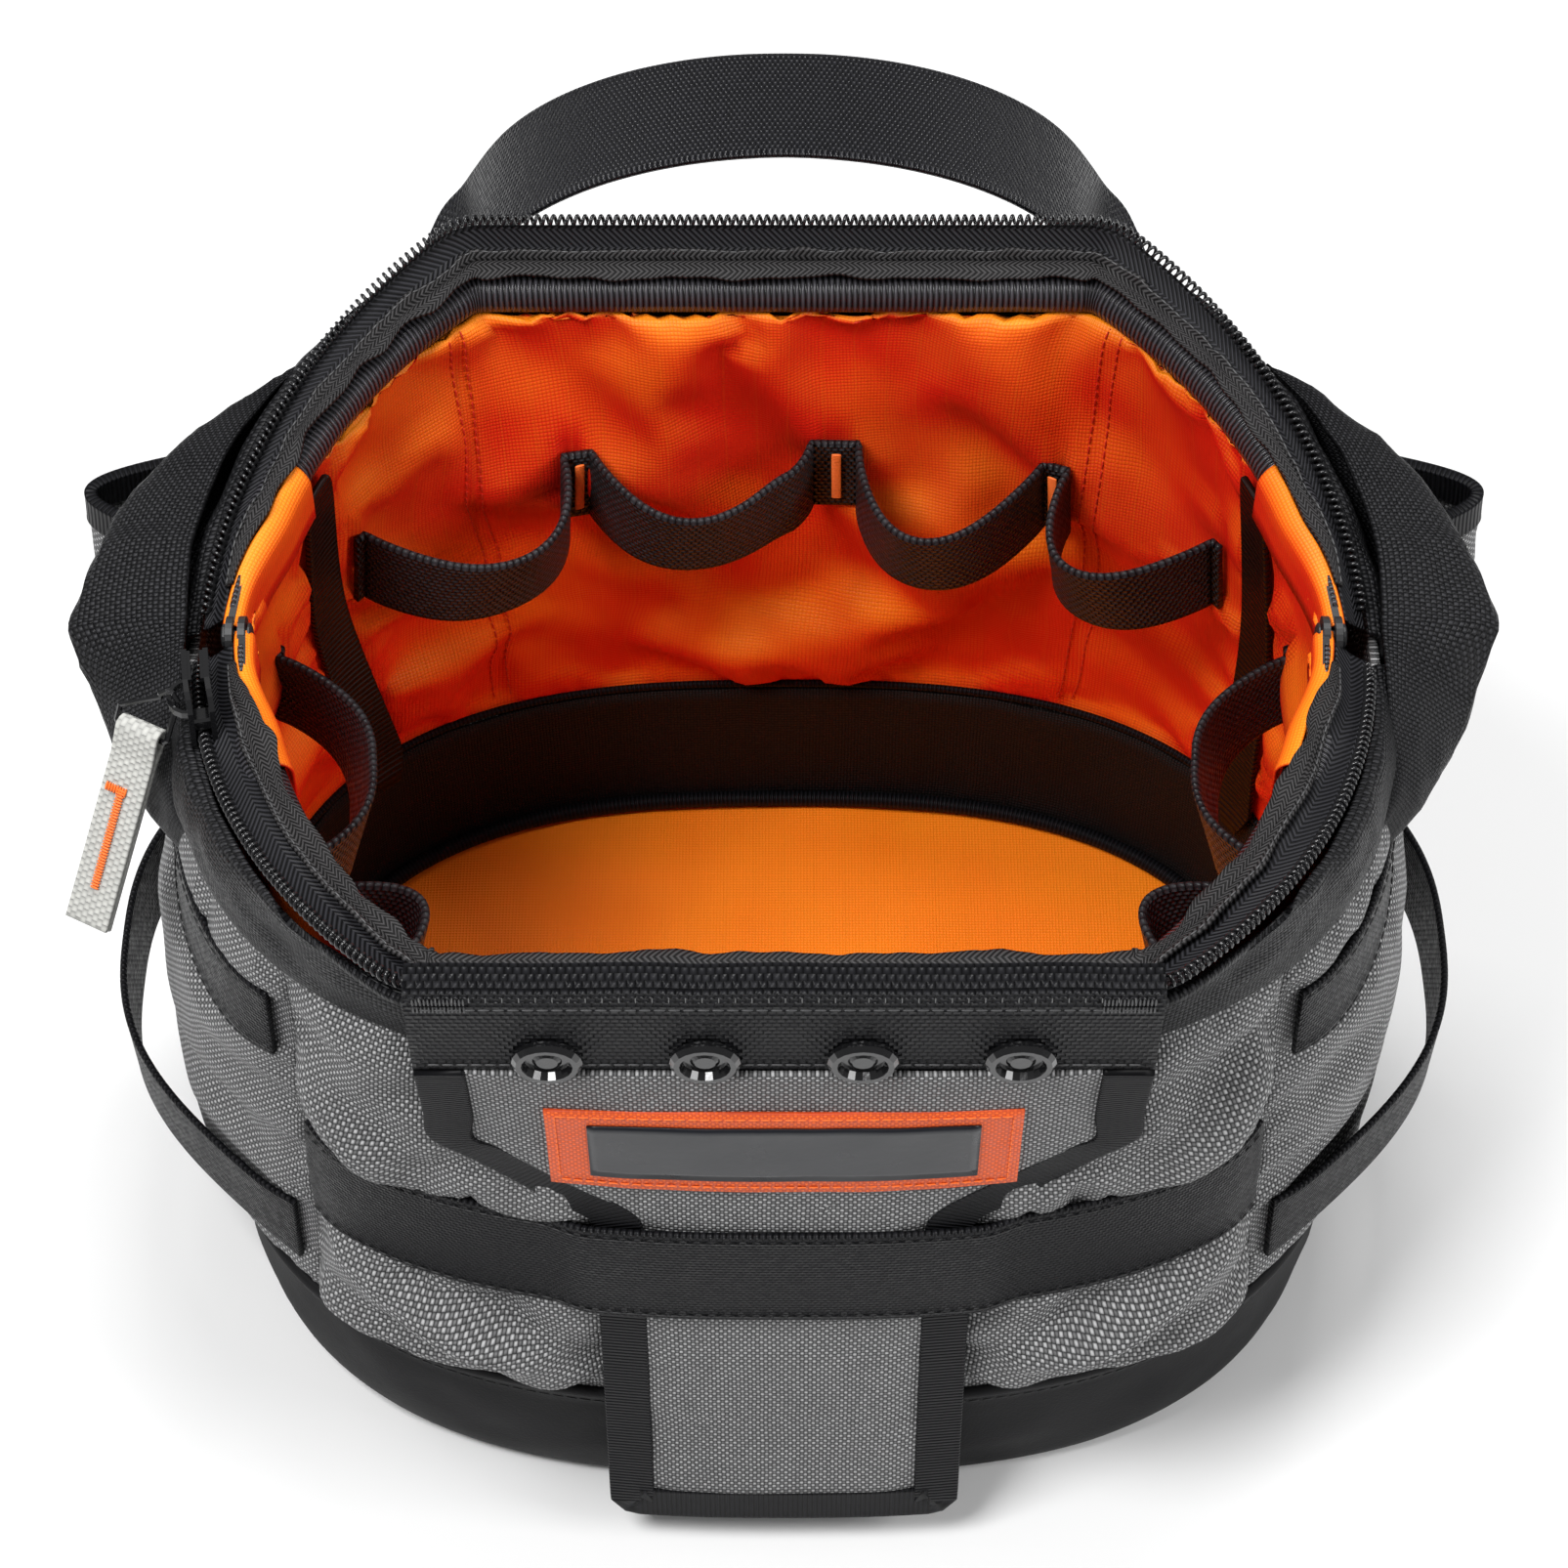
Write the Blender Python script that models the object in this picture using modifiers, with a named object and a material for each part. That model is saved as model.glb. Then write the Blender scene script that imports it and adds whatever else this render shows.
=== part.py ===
"""Tool pouch: a round-cornered fabric pouch with a hinged zipper mouth held open by two steel bows.

Units are metres, +Z is up, -Y is the front and the origin is the middle of the base.
"""
import math

import bmesh
import bpy
from mathutils import Matrix, Vector

# Driving dimensions: mouth
MOUTH_HALF_WIDTH = 0.133
MOUTH_HALF_DEPTH = 0.110

# Body, which grows with the mouth
RIM_STAND_OFF = 0.004
RIM_SET_BACK = 0.0015
BAND_FULLNESS = 0.005
BAND_FULLNESS_DEPTH = 0.001
BELLY_FULLNESS = 0.0065
BELLY_FULLNESS_DEPTH = 0.0025
BASE_TUCK = 0.008
BASE_TUCK_DEPTH = 0.0055
RIM_HALF_WIDTH = MOUTH_HALF_WIDTH + RIM_STAND_OFF
RIM_HALF_DEPTH = MOUTH_HALF_DEPTH - RIM_SET_BACK
BAND_HALF_WIDTH = RIM_HALF_WIDTH + BAND_FULLNESS
BAND_HALF_DEPTH = RIM_HALF_DEPTH + BAND_FULLNESS_DEPTH
BELLY_HALF_WIDTH = RIM_HALF_WIDTH + BELLY_FULLNESS
BELLY_HALF_DEPTH = RIM_HALF_DEPTH + BELLY_FULLNESS_DEPTH
BASE_HALF_WIDTH = BAND_HALF_WIDTH - BASE_TUCK
BASE_HALF_DEPTH = BAND_HALF_DEPTH - BASE_TUCK_DEPTH
BASE_TURN_HEIGHT = 0.022
BAND_HEIGHT = 0.050
BELLY_HEIGHT = 0.120
WALL_HEIGHT = 0.196
SEAM_PINCH = 0.0035
SEAM_PINCH_REACH = 0.013
SEAM_ANGLE = math.radians(42.2)
BODY_SQUARENESS = 2.65

# Fabric thicknesses and the clearances between layers
WALL_THICKNESS = 0.003
LINING_THICKNESS = 0.0012
WEBBING_THICKNESS = 0.0018
PANEL_THICKNESS = 0.0016
BINDING_THICKNESS = 0.002
COLLAR_THICKNESS = 0.0016
GAP = 0.0003
FABRIC_GAP = 0.0005
MERGE_DISTANCE = 0.00001

# Base
BOARD_THICKNESS = 0.002
FLOOR_THICKNESS = 0.0014
PIPING_RADIUS = 0.0022
INNER_BAND_TOP = 0.058

# Mouth: each half of the zipper lies in a plane through the hinge line
HINGE_HEIGHT = 0.208
MOUTH_HEIGHT = 0.233
MOUTH_CORNER_RADIUS = 0.016
MOUTH_CORNER_TURN = math.radians(43)
MOUTH_END_TURN = math.radians(88)
ZIP_END_GAP = 0.004

# Zipper
TOOTH_PITCH = 0.0034
TOOTH_HEIGHT = 0.0032
TOOTH_ROOT = 0.0014
TOOTH_THICKNESS = 0.0026
CHAIN_HALF_GAP = 0.0015
CHAIN_END_GAP = 0.007
TAPE_HEIGHT = 0.0125
TAPE_THICKNESS = 0.0009
COLLAR_TOP_DROP = 0.0032
FACING_TOP_DROP = 0.0055
FACING_LEAST_HEIGHT = 0.003
FACING_REACH = 0.003
FACING_THICKNESS = 0.001

# Bows, their channels and hinge pins
BOW_HEIGHT = 0.0062
BOW_THICKNESS = 0.0016
BOW_RISE = 0.0065
FRONT_BOW_INSET = 0.0100
BACK_BOW_INSET = 0.0072
CHANNEL_RADIUS = 0.005
CHANNEL_WALL = 0.001
CHANNEL_END_GAP = 0.036
EYE_RADIUS = 0.0045
EYE_HOLE_RADIUS = 0.0018
PIN_RADIUS = 0.0015
PIN_HEAD_RADIUS = 0.003
PIN_HEAD_THICKNESS = 0.0009

# Lining
LINING_TOP_INSET = 0.0105
LINING_TOP_INSET_DEPTH = 0.011
LINING_TOP_HALF_WIDTH = MOUTH_HALF_WIDTH - LINING_TOP_INSET
LINING_TOP_HALF_DEPTH = MOUTH_HALF_DEPTH - LINING_TOP_INSET_DEPTH
LINING_DROP = 0.0008

# Folded fabric over the hinge
EAR_STAND_OFF = 0.026
EAR_REACH = RIM_HALF_WIDTH + EAR_STAND_OFF
EAR_TIP_DEPTH = 0.004
EAR_FRONT_RUN = 0.050
EAR_BACK_RUN = 0.072
EAR_FRONT_TAPER = 1.0
EAR_BACK_TAPER = 1.35
EAR_BOTTOM = 0.180
EAR_TIP_LEVEL = 0.206
EAR_FRONT_LEVEL = 0.188
EAR_BACK_LEVEL = 0.216
EAR_MOUTH_LEVEL = 0.210
EAR_FRONT_MOUTH_LEVEL = 0.191
EAR_MOUTH_RUN = 0.024
EAR_EDGE = 0.005
EAR_END_THICKNESS = 0.0012

# Front panel, its binding and label
PANEL_HEAD_HALF_WIDTH = 0.078
PANEL_TAIL_HALF_WIDTH = 0.043
PANEL_TOP = 0.2036
PANEL_LEAN_START = 0.150
PANEL_TAPER_TOP = 0.164
PANEL_TAPER_BOTTOM = 0.136
PANEL_BOTTOM = 0.012
PANEL_CORNER = 0.007
PANEL_INNER_CORNER = 0.002
TAIL_STAND_OFF = 0.011
BINDING_WIDTH = 0.011
HEAD_STAND_OFF = 0.0029
HEAD_LEAN = 0.0012
HEAD_FOOT_DEPTH = MOUTH_HALF_DEPTH + HEAD_STAND_OFF
HEAD_DEPTH = HEAD_FOOT_DEPTH + HEAD_LEAN
HEAD_BOTTOM = 0.204
HEAD_KNEE = 0.2255
HEAD_TOP = 0.2338
LABEL_HALF_WIDTH = 0.0515
LABEL_BOTTOM = 0.1535
LABEL_TOP = 0.1875
LABEL_THICKNESS = 0.0008
WINDOW_HALF_WIDTH = 0.0425
WINDOW_BOTTOM = 0.159
WINDOW_TOP = 0.1815
WINDOW_THICKNESS = 0.0005

# Snaps
SNAP_RADIUS = 0.0075
SNAP_HEIGHT = 0.0022
SNAP_SPACING = 0.033
SNAP_LEVEL = 0.2095

# Webbing outside
BELT_BOTTOM = 0.098
BELT_TOP = 0.136
SIDE_WEBBING_BOTTOM = 0.1545
SIDE_WEBBING_TOP = 0.1795
LOOP_BOTTOM = 0.0655
LOOP_TOP = 0.0905
LOOP_BULGE = 0.021
SEAM_MARGIN_ANGLE = math.radians(2.5)
CHORD_SEARCH_ANGLE = math.radians(12)
LEAST_STATION_STEP = math.radians(0.4)

# Rear side sleeves
SLEEVE_BOTTOM = 0.150
SLEEVE_TOP = 0.190
SLEEVE_BINDING_HEIGHT = 0.009
SLEEVE_BULGE = 0.036
SLEEVE_START_ANGLE = math.radians(12.5)

# Webbing loops inside and the side stays
TOOL_LOOP_BOTTOM = 0.1405
TOOL_LOOP_TOP = 0.1655
TOOL_LOOP_BULGE = 0.026
STAY_WIDTH = 0.017
STAY_THICKNESS = 0.0015
STAY_TOP = 0.199
STAY_BOTTOM = 0.052
STAY_TOP_ANGLE = math.radians(19)
STAY_BOTTOM_ANGLE = math.radians(37)

# Handle
HANDLE_WIDTH = 0.038
HANDLE_THICKNESS = 0.0018
HANDLE_HALF_SPAN = 0.079
HANDLE_ANCHOR_BOTTOM = 0.122
HANDLE_HINGE_HEIGHT = 0.165
HANDLE_ARCH_FOOT = 0.193
HANDLE_RISE = 0.053
HANDLE_STAND_OFF = 0.0248
HANDLE_APEX_STAND_OFF = 0.0237
HANDLE_LEG_DEPTH = MOUTH_HALF_DEPTH + HANDLE_STAND_OFF
HANDLE_APEX_DEPTH = MOUTH_HALF_DEPTH + HANDLE_APEX_STAND_OFF
HANDLE_TILT = 0.0028

# Slider, puller and tag
SLIDER_CENTRE = 0.0225
SLIDER_HALF_LENGTH = 0.0115
SLIDER_NOSE_HALF_WIDTH = 0.0075
SLIDER_TAIL_HALF_WIDTH = 0.0064
SLIDER_PLATE = 0.0012
SLIDER_CLEARANCE = 0.0005
SLIDER_POST_LENGTH = 0.005
SLIDER_POST_HALF_HEIGHT = 0.001
SLIDER_LIP = 0.0008
BAIL_HALF_LENGTH = 0.0062
BAIL_RISE = 0.0046
BAIL_HALF_WIDTH = 0.0007
BAIL_THICKNESS = 0.001
PULLER_WIRE = 0.0007
PULLER_HANG = math.radians(42)
PULLER_CRANK = math.radians(14)
PULLER_TOP = 0.0024
PULLER_NECK = 0.0023
PULLER_LENGTH = 0.011
PULLER_HALF_WIDTH = 0.0067
PULLER_CORNER = 0.0015
PULLER_STRAIGHT = 0.0042
TAG_WIDTH = 0.011
TAG_THICKNESS = 0.0026
TAG_LENGTH = 0.047
TAG_LOOP_RADIUS = 0.0027
TAG_HOLE_RADIUS = 0.0013
TAG_NECK = 0.006
STITCH_HALF_WIDTH = 0.0009
STITCH_THICKNESS = 0.0005
STITCH_TOP = 0.014
STITCH_BOTTOM = 0.038

# Shares along things, chosen by hand
STATION_SHARES = (0, 0.107, 0.265, 0.43, 0.605, 0.79)
BASE_TURN_SHARES = (0, 0.12, 0.4, 1)
LINING_ROW_SHARES = (0, 0.33, 0.67, 1)
COLLAR_ROW_SHARES = ((0, 0), (0.28, 0.75), (0.6, 1), (1, 1))
EAR_FRONT_SHARES = ((1, 1), (0.7, 1), (0.41, 0.93), (0.18, 0.75), (0, 0))
EAR_BACK_SHARES = (0.14, 0.25, 0.36, 0.5, 0.64, 0.78, 0.89, 1)
PANEL_COLUMN_SHARES = (-1, -0.75, -0.5, -0.25, 0, 0.25, 0.5, 0.75, 1)
SNAP_POSITION_SHARES = {"far_left": -1.5, "near_left": -0.5, "near_right": 0.5, "far_right": 1.5}
HANDLE_LEG_SHARES = ((0, 0, -24), (0.07, 0.002, -24), (0.3, 0.2, -6), (0.62, 0.58, 28), (1, 0.92, 62))
HANDLE_ARCH_TURN_SHARES = (62, 82, 88, 90)
STAY_ROW_SHARES = ((0, 0.45), (0.05, 1), (0.35, 1), (0.7, 1), (1, 1))
SNAP_PROFILE_SHARES = ((0, 0.5), (0.3, 0.5), (0.42, 0.25), (0.62, 0.25), (0.72, 1), (0.88, 1), (1, 0.5),
                       (1, 0), (0, 0))
SLIDER_TAIL_SHARES = ((0, 0.75), (0.08, 1), (0.55, 1))
SLIDER_NOSE_SHARES = ((0.8, 1), (0.93, 1), (1, 0.6))
TAG_DIRECTION_SHARES = (-0.3, -0.57, -0.765)
BACK_TACK_ANGLES = tuple(math.radians(a) for a in (34, 63, 87, 108.5, 144))
FRONT_TACK_ANGLES = tuple(math.radians(a) for a in (-47, -72, -108, -133))
RIGHT_TACK_ANGLES = tuple(math.radians(a) for a in (13, -18, -45))
LEFT_TACK_ANGLES = tuple(math.pi - a for a in RIGHT_TACK_ANGLES)

FRONT, BACK = -1, 1
LEFT, RIGHT = -1, 1

# Values worked out from the driving dimensions
MOUTH_SLOPE = math.atan2(MOUTH_HEIGHT - HINGE_HEIGHT, MOUTH_HALF_DEPTH)
MOUTH_RADIAL_DEPTH = MOUTH_HALF_DEPTH / math.cos(MOUTH_SLOPE)
LEG_RADIUS = (MOUTH_RADIAL_DEPTH - MOUTH_CORNER_RADIUS * (1 - math.cos(MOUTH_CORNER_TURN))) / (
    math.cos(MOUTH_CORNER_TURN) - math.cos(MOUTH_END_TURN))
MOUTH_STRAIGHT = (MOUTH_HALF_WIDTH - MOUTH_CORNER_RADIUS * math.sin(MOUTH_CORNER_TURN)
                  - LEG_RADIUS * (math.sin(MOUTH_END_TURN) - math.sin(MOUTH_CORNER_TURN)))
CORNER_LENGTH = MOUTH_CORNER_RADIUS * MOUTH_CORNER_TURN
MOUTH_LENGTH = MOUTH_STRAIGHT + CORNER_LENGTH + LEG_RADIUS * (MOUTH_END_TURN - MOUTH_CORNER_TURN)
LINING_BOTTOM = INNER_BAND_TOP + GAP
LINING_TOP = HINGE_HEIGHT - CHANNEL_RADIUS - LINING_DROP
LINING_OFFSET = -(WALL_THICKNESS + GAP)
SIDE_REACH = SEAM_ANGLE - SEAM_MARGIN_ANGLE
EAR_BACK_BOTTOM = SLEEVE_TOP + EAR_END_THICKNESS + GAP


def clear_scene():
    for old in list(bpy.data.objects):
        bpy.data.objects.remove(old, do_unlink=True)


def new_collection(name):
    collection = bpy.data.collections.new(name)
    bpy.context.scene.collection.children.link(collection)
    return collection


def material(name, colour, roughness, metallic=0.0):
    made = bpy.data.materials.new(name)
    made.use_nodes = True
    shader = made.node_tree.nodes["Principled BSDF"]
    shader.inputs["Base Color"].default_value = (*colour, 1)
    shader.inputs["Roughness"].default_value = roughness
    shader.inputs["Metallic"].default_value = metallic
    return made


clear_scene()
PARTS = new_collection("tool_pouch")
CUTTERS = new_collection("cutters")


def add_object(name, mesh, colour, roughness=0.8, metallic=0.0, smooth=False):
    """Put a mesh in the part's collection with a material of its own."""
    piece = bpy.data.objects.new(name, mesh)
    PARTS.objects.link(piece)
    mesh.materials.append(material(name, colour, roughness, metallic))
    if smooth:
        mesh.shade_smooth()
        mesh.set_sharp_from_angle(angle=math.radians(40))
    return piece


BLACK = (0.018, 0.018, 0.019)
GREY = (0.17, 0.17, 0.175)
ORANGE = (0.85, 0.14, 0.02)
RUBBER = (0.03, 0.03, 0.032)
STEEL = (0.45, 0.45, 0.47)
PALE = (0.5, 0.5, 0.47)
BROWN = (0.03, 0.02, 0.018)


def lerp(a, b, share):
    return a + (b - a) * share


def smoothstep(value):
    value = min(max(value, 0), 1)
    return value * value * (3 - 2 * value)


# Body surface

def half_sizes(z):
    """Half width and half depth of the outer surface at a height."""
    if z < BASE_TURN_HEIGHT:
        roundness = 1 - math.sqrt(1 - (1 - z / BASE_TURN_HEIGHT) ** 2)
        return (lerp(BAND_HALF_WIDTH, BASE_HALF_WIDTH, roundness),
                lerp(BAND_HALF_DEPTH, BASE_HALF_DEPTH, roundness))
    rows = ((BAND_HEIGHT, BAND_HALF_WIDTH, BAND_HALF_DEPTH),
            (BELLY_HEIGHT, BELLY_HALF_WIDTH, BELLY_HALF_DEPTH),
            (WALL_HEIGHT, RIM_HALF_WIDTH, RIM_HALF_DEPTH))
    if z <= rows[0][0]:
        return rows[0][1:]
    for low, high in zip(rows, rows[1:]):
        if z <= high[0]:
            share = (z - low[0]) / (high[0] - low[0])
            return lerp(low[1], high[1], share), lerp(low[2], high[2], share)
    return rows[-1][1:]


def seam_pinch(angle, z):
    """How far the corner seams draw the wall in."""
    if z <= INNER_BAND_TOP or z >= WALL_HEIGHT:
        return 0
    rise = math.sin(math.pi * (z - INNER_BAND_TOP) / (WALL_HEIGHT - INNER_BAND_TOP))
    folded = abs(math.atan2(math.sin(angle), math.cos(angle)))
    folded = min(folded, math.pi - folded)
    distance = (folded - SEAM_ANGLE) * BELLY_HALF_WIDTH / SEAM_PINCH_REACH
    return SEAM_PINCH * rise * math.exp(-distance * distance)


def squared_ring(angle, half_width, half_depth, z):
    """Point of a superellipse."""
    c, s = math.cos(angle), math.sin(angle)
    power = 2 / BODY_SQUARENESS
    return Vector((math.copysign(abs(c) ** power, c) * half_width,
                   math.copysign(abs(s) ** power, s) * half_depth, z))


def body_point(angle, z, offset=0):
    half_width, half_depth = half_sizes(z)
    moved = offset - seam_pinch(angle, z)
    return squared_ring(angle, half_width + moved, half_depth + moved, z)


def body_depth(x, z, offset=0):
    """Distance of the body's front or back from the middle plane, at one x."""
    half_width, half_depth = half_sizes(z)
    inside = 1 - (abs(x) / half_width) ** BODY_SQUARENESS
    return half_depth * inside ** (1 / BODY_SQUARENESS) + offset


def body_side(y, z, offset=0):
    """Distance of the body's side from the middle plane, at one y."""
    half_width, half_depth = half_sizes(z)
    inside = 1 - (abs(y) / half_depth) ** BODY_SQUARENESS
    return half_width * inside ** (1 / BODY_SQUARENESS) + offset


def lining_point(angle, z, offset=0):
    """The lining hangs from the bows and meets the wall at the inner band."""
    half_width, half_depth = half_sizes(LINING_BOTTOM)
    share = (z - LINING_BOTTOM) / (LINING_TOP - LINING_BOTTOM)
    return squared_ring(angle,
                        lerp(half_width + LINING_OFFSET, LINING_TOP_HALF_WIDTH, share) + offset,
                        lerp(half_depth + LINING_OFFSET, LINING_TOP_HALF_DEPTH, share) + offset, z)


def lining_top(angle):
    """The lining's edge lies just under the bow's channel, which rises to the front and back."""
    return LINING_TOP + BOW_RISE * abs(lining_point(angle, LINING_TOP).y) / MOUTH_HALF_DEPTH


def on_chord(surface, angle, z, offset=0):
    """Point on the flat strip between two stations, so that layers lie parallel."""
    turn = station_angles(angle - CHORD_SEARCH_ANGLE, angle + CHORD_SEARCH_ANGLE)[1:-1]
    below = max((a for a in turn if a <= angle), default=turn[0])
    above = min((a for a in turn if a > angle), default=turn[-1])
    share = (angle - below) / (above - below)
    return surface(below, z, offset).lerp(surface(above, z, offset), share)


def quarter_angles():
    """Station angles of a quarter turn, closer together at the corner seam."""
    rising = [SEAM_ANGLE * share for share in STATION_SHARES]
    falling = [math.pi / 2 - (math.pi / 2 - SEAM_ANGLE) * share for share in STATION_SHARES]
    return rising + [SEAM_ANGLE] + falling[:0:-1]


def station_angles(start=None, end=None):
    """Station angles of the whole ring, or those from start to end with both ends."""
    quarter = quarter_angles()
    turn = []
    for index in range(-6, 7):
        base = index * math.pi / 2
        angles = quarter if index % 2 == 0 else [math.pi / 2 - a for a in reversed(quarter[1:])]
        if index % 2:
            angles = [0] + angles
        turn += [base + a for a in angles]
    if start is None:
        return [a for a in turn if 0 <= a < 2 * math.pi - LEAST_STATION_STEP]
    low, high = min(start, end), max(start, end)
    inside = [a for a in turn if low + LEAST_STATION_STEP < a < high - LEAST_STATION_STEP]
    return [low] + inside + [high]


# Mesh builders

def finish_mesh(name, bm):
    bmesh.ops.recalc_face_normals(bm, faces=bm.faces)
    mesh = bpy.data.meshes.new(name)
    bm.to_mesh(mesh)
    bm.free()
    return mesh


def two_skins(name, outer, inner, closed=False, filled=False):
    """Solid between two grids of points, each a list of columns that run up the surface."""
    bm = bmesh.new()
    skins = [[[bm.verts.new(p) for p in column] for column in grid] for grid in (outer, inner)]
    count = len(outer)
    rows = len(outer[0])
    for i in range(count if closed else count - 1):
        k = (i + 1) % count
        for skin in skins:
            for j in range(rows - 1):
                bm.faces.new((skin[i][j], skin[k][j], skin[k][j + 1], skin[i][j + 1]))
        for j in ((rows - 1,) if filled else (0, rows - 1)):
            bm.faces.new((skins[0][i][j], skins[0][k][j], skins[1][k][j], skins[1][i][j]))
    if filled:
        for skin in skins:
            bm.faces.new([column[0] for column in skin])
    if not closed:
        for i in (0, count - 1):
            for j in range(rows - 1):
                bm.faces.new((skins[0][i][j], skins[0][i][j + 1],
                              skins[1][i][j + 1], skins[1][i][j]))
    return finish_mesh(name, bm)


def loft(name, sections, bm=None):
    """Solid through closed sections with the same number of points, with both ends capped."""
    own = bm is None
    bm = bm or bmesh.new()
    rings = [[bm.verts.new(p) for p in section] for section in sections]
    count = len(rings[0])
    for low, high in zip(rings, rings[1:]):
        for i in range(count):
            k = (i + 1) % count
            bm.faces.new((low[i], low[k], high[k], high[i]))
    bm.faces.new(rings[0])
    bm.faces.new(rings[-1])
    return finish_mesh(name, bm) if own else None


def sheet(name, columns, thickness, colour, roughness=0.8):
    """Open grid of points, thickened to both sides alike."""
    bm = bmesh.new()
    grid = [[bm.verts.new(p) for p in column] for column in columns]
    for left, right in zip(grid, grid[1:]):
        for j in range(len(left) - 1):
            bm.faces.new((left[j], right[j], right[j + 1], left[j + 1]))
    mesh = bpy.data.meshes.new(name)
    bm.to_mesh(mesh)
    bm.free()
    piece = add_object(name, mesh, colour, roughness)
    thicken = piece.modifiers.new("thickness", "SOLIDIFY")
    thicken.thickness = thickness
    thicken.offset = 0
    thicken.use_even_offset = True
    return piece


def turned(name, profile, steps=20):
    """Mesh turned about Z from (radius, height) points that run down the outer side."""
    bm = bmesh.new()
    points = [bm.verts.new((radius, 0, height)) for radius, height in profile]
    for a, b in zip(points, points[1:]):
        bm.edges.new((a, b))
    mesh = bpy.data.meshes.new(name)
    bm.to_mesh(mesh)
    bm.free()
    blank = bpy.data.objects.new(name, mesh)
    CUTTERS.objects.link(blank)
    screw = blank.modifiers.new("turn", "SCREW")
    screw.steps = steps
    screw.render_steps = steps
    screw.use_merge_vertices = True
    screw.merge_threshold = MERGE_DISTANCE
    made = evaluated_mesh(blank)
    bpy.data.objects.remove(blank, do_unlink=True)
    return made


def evaluated_mesh(piece):
    graph = bpy.context.evaluated_depsgraph_get()
    graph.update()
    return bpy.data.meshes.new_from_object(piece.evaluated_get(graph), depsgraph=graph)


def boolean(piece, other, operation):
    change = piece.modifiers.new(operation.lower(), "BOOLEAN")
    change.operation = operation
    change.object = other
    change.solver = "EXACT"
    other.hide_render = True
    other.display_type = "WIRE"


def tool(name, mesh):
    piece = bpy.data.objects.new(name, mesh)
    CUTTERS.objects.link(piece)
    piece.hide_render = True
    piece.display_type = "WIRE"
    return piece


def rod(name, radius, length, centre, direction, sides=20):
    """Cylinder used to cut or to join."""
    bm = bmesh.new()
    bmesh.ops.create_cone(bm, cap_ends=True, segments=sides, radius1=radius, radius2=radius,
                          depth=length)
    turn = Vector((0, 0, 1)).rotation_difference(Vector(direction))
    bmesh.ops.transform(bm, matrix=Matrix.Translation(centre) @ turn.to_matrix().to_4x4(),
                        verts=bm.verts)
    mesh = bpy.data.meshes.new(name)
    bm.to_mesh(mesh)
    bm.free()
    return tool(name, mesh)


def set_origin(piece, point):
    """Move a piece's origin to its joint and leave its shape where it is."""
    piece.data.transform(Matrix.Translation(-point))
    piece.matrix_world = Matrix.Translation(point)


def hang_on(name, point, nodes):
    """Parent pieces to an empty on the axis that they turn about."""
    pivot = bpy.data.objects.new(name, None)
    PARTS.objects.link(pivot)
    pivot.location = point
    for node in nodes:
        piece = bpy.data.objects[node]
        piece.parent = pivot
        piece.matrix_parent_inverse = Matrix.Translation(-point)


# Mouth

def mouth_plan(run):
    """Point and outward normal in a half's own plane, run metres from the middle of the half."""
    side = math.copysign(1, run)
    run = abs(run)
    straight = min(run, MOUTH_STRAIGHT)
    corner = min(max(run - MOUTH_STRAIGHT, 0), CORNER_LENGTH) / MOUTH_CORNER_RADIUS
    turn = corner + max(run - MOUTH_STRAIGHT - CORNER_LENGTH, 0) / LEG_RADIUS
    along = straight + MOUTH_CORNER_RADIUS * math.sin(corner)
    away = MOUTH_RADIAL_DEPTH - MOUTH_CORNER_RADIUS * (1 - math.cos(corner))
    along += LEG_RADIUS * (math.sin(turn) - math.sin(corner))
    away -= LEG_RADIUS * (math.cos(corner) - math.cos(turn))
    return side * along, away, side * math.sin(turn), math.cos(turn)


def rim_point(half, run, lift, out):
    """Point near the zipper: lift is square to the half's plane, out points away from the mouth."""
    along, away, normal_along, normal_away = mouth_plan(run)
    along += normal_along * out
    away += normal_away * out
    slope_sin, slope_cos = math.sin(MOUTH_SLOPE), math.cos(MOUTH_SLOPE)
    return Vector((along, half * (away * slope_cos - lift * slope_sin),
                   HINGE_HEIGHT + away * slope_sin + lift * slope_cos))


def fabric_point(half, run, drop, out):
    """Point on the fabric that hangs straight down from the chain."""
    point = rim_point(half, run, -(CHAIN_HALF_GAP + TOOTH_HEIGHT + GAP), out)
    point.z -= drop
    return point


def bow_point(half, run, inset, lift):
    """Point of the gently rising path that the bow follows inside the mouth."""
    along, away, normal_along, normal_away = mouth_plan(run)
    depth = away * math.cos(MOUTH_SLOPE) - normal_away * inset
    return Vector((along - normal_along * inset, half * depth,
                   HINGE_HEIGHT + BOW_RISE * depth / MOUTH_HALF_DEPTH + lift))


def mouth_runs(end_gap, leg_steps=7):
    """Distances from the middle of the half that follow its straight, corners and legs."""
    start = MOUTH_STRAIGHT + CORNER_LENGTH
    end = MOUTH_LENGTH - end_gap
    half = [0, MOUTH_STRAIGHT / 2, MOUTH_STRAIGHT]
    half += [MOUTH_STRAIGHT + CORNER_LENGTH * share for share in (1 / 3, 2 / 3)]
    half += [lerp(start, end, i / leg_steps) for i in range(leg_steps + 1)]
    return [-run for run in reversed(half[1:])] + half


# Pieces: base

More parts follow.
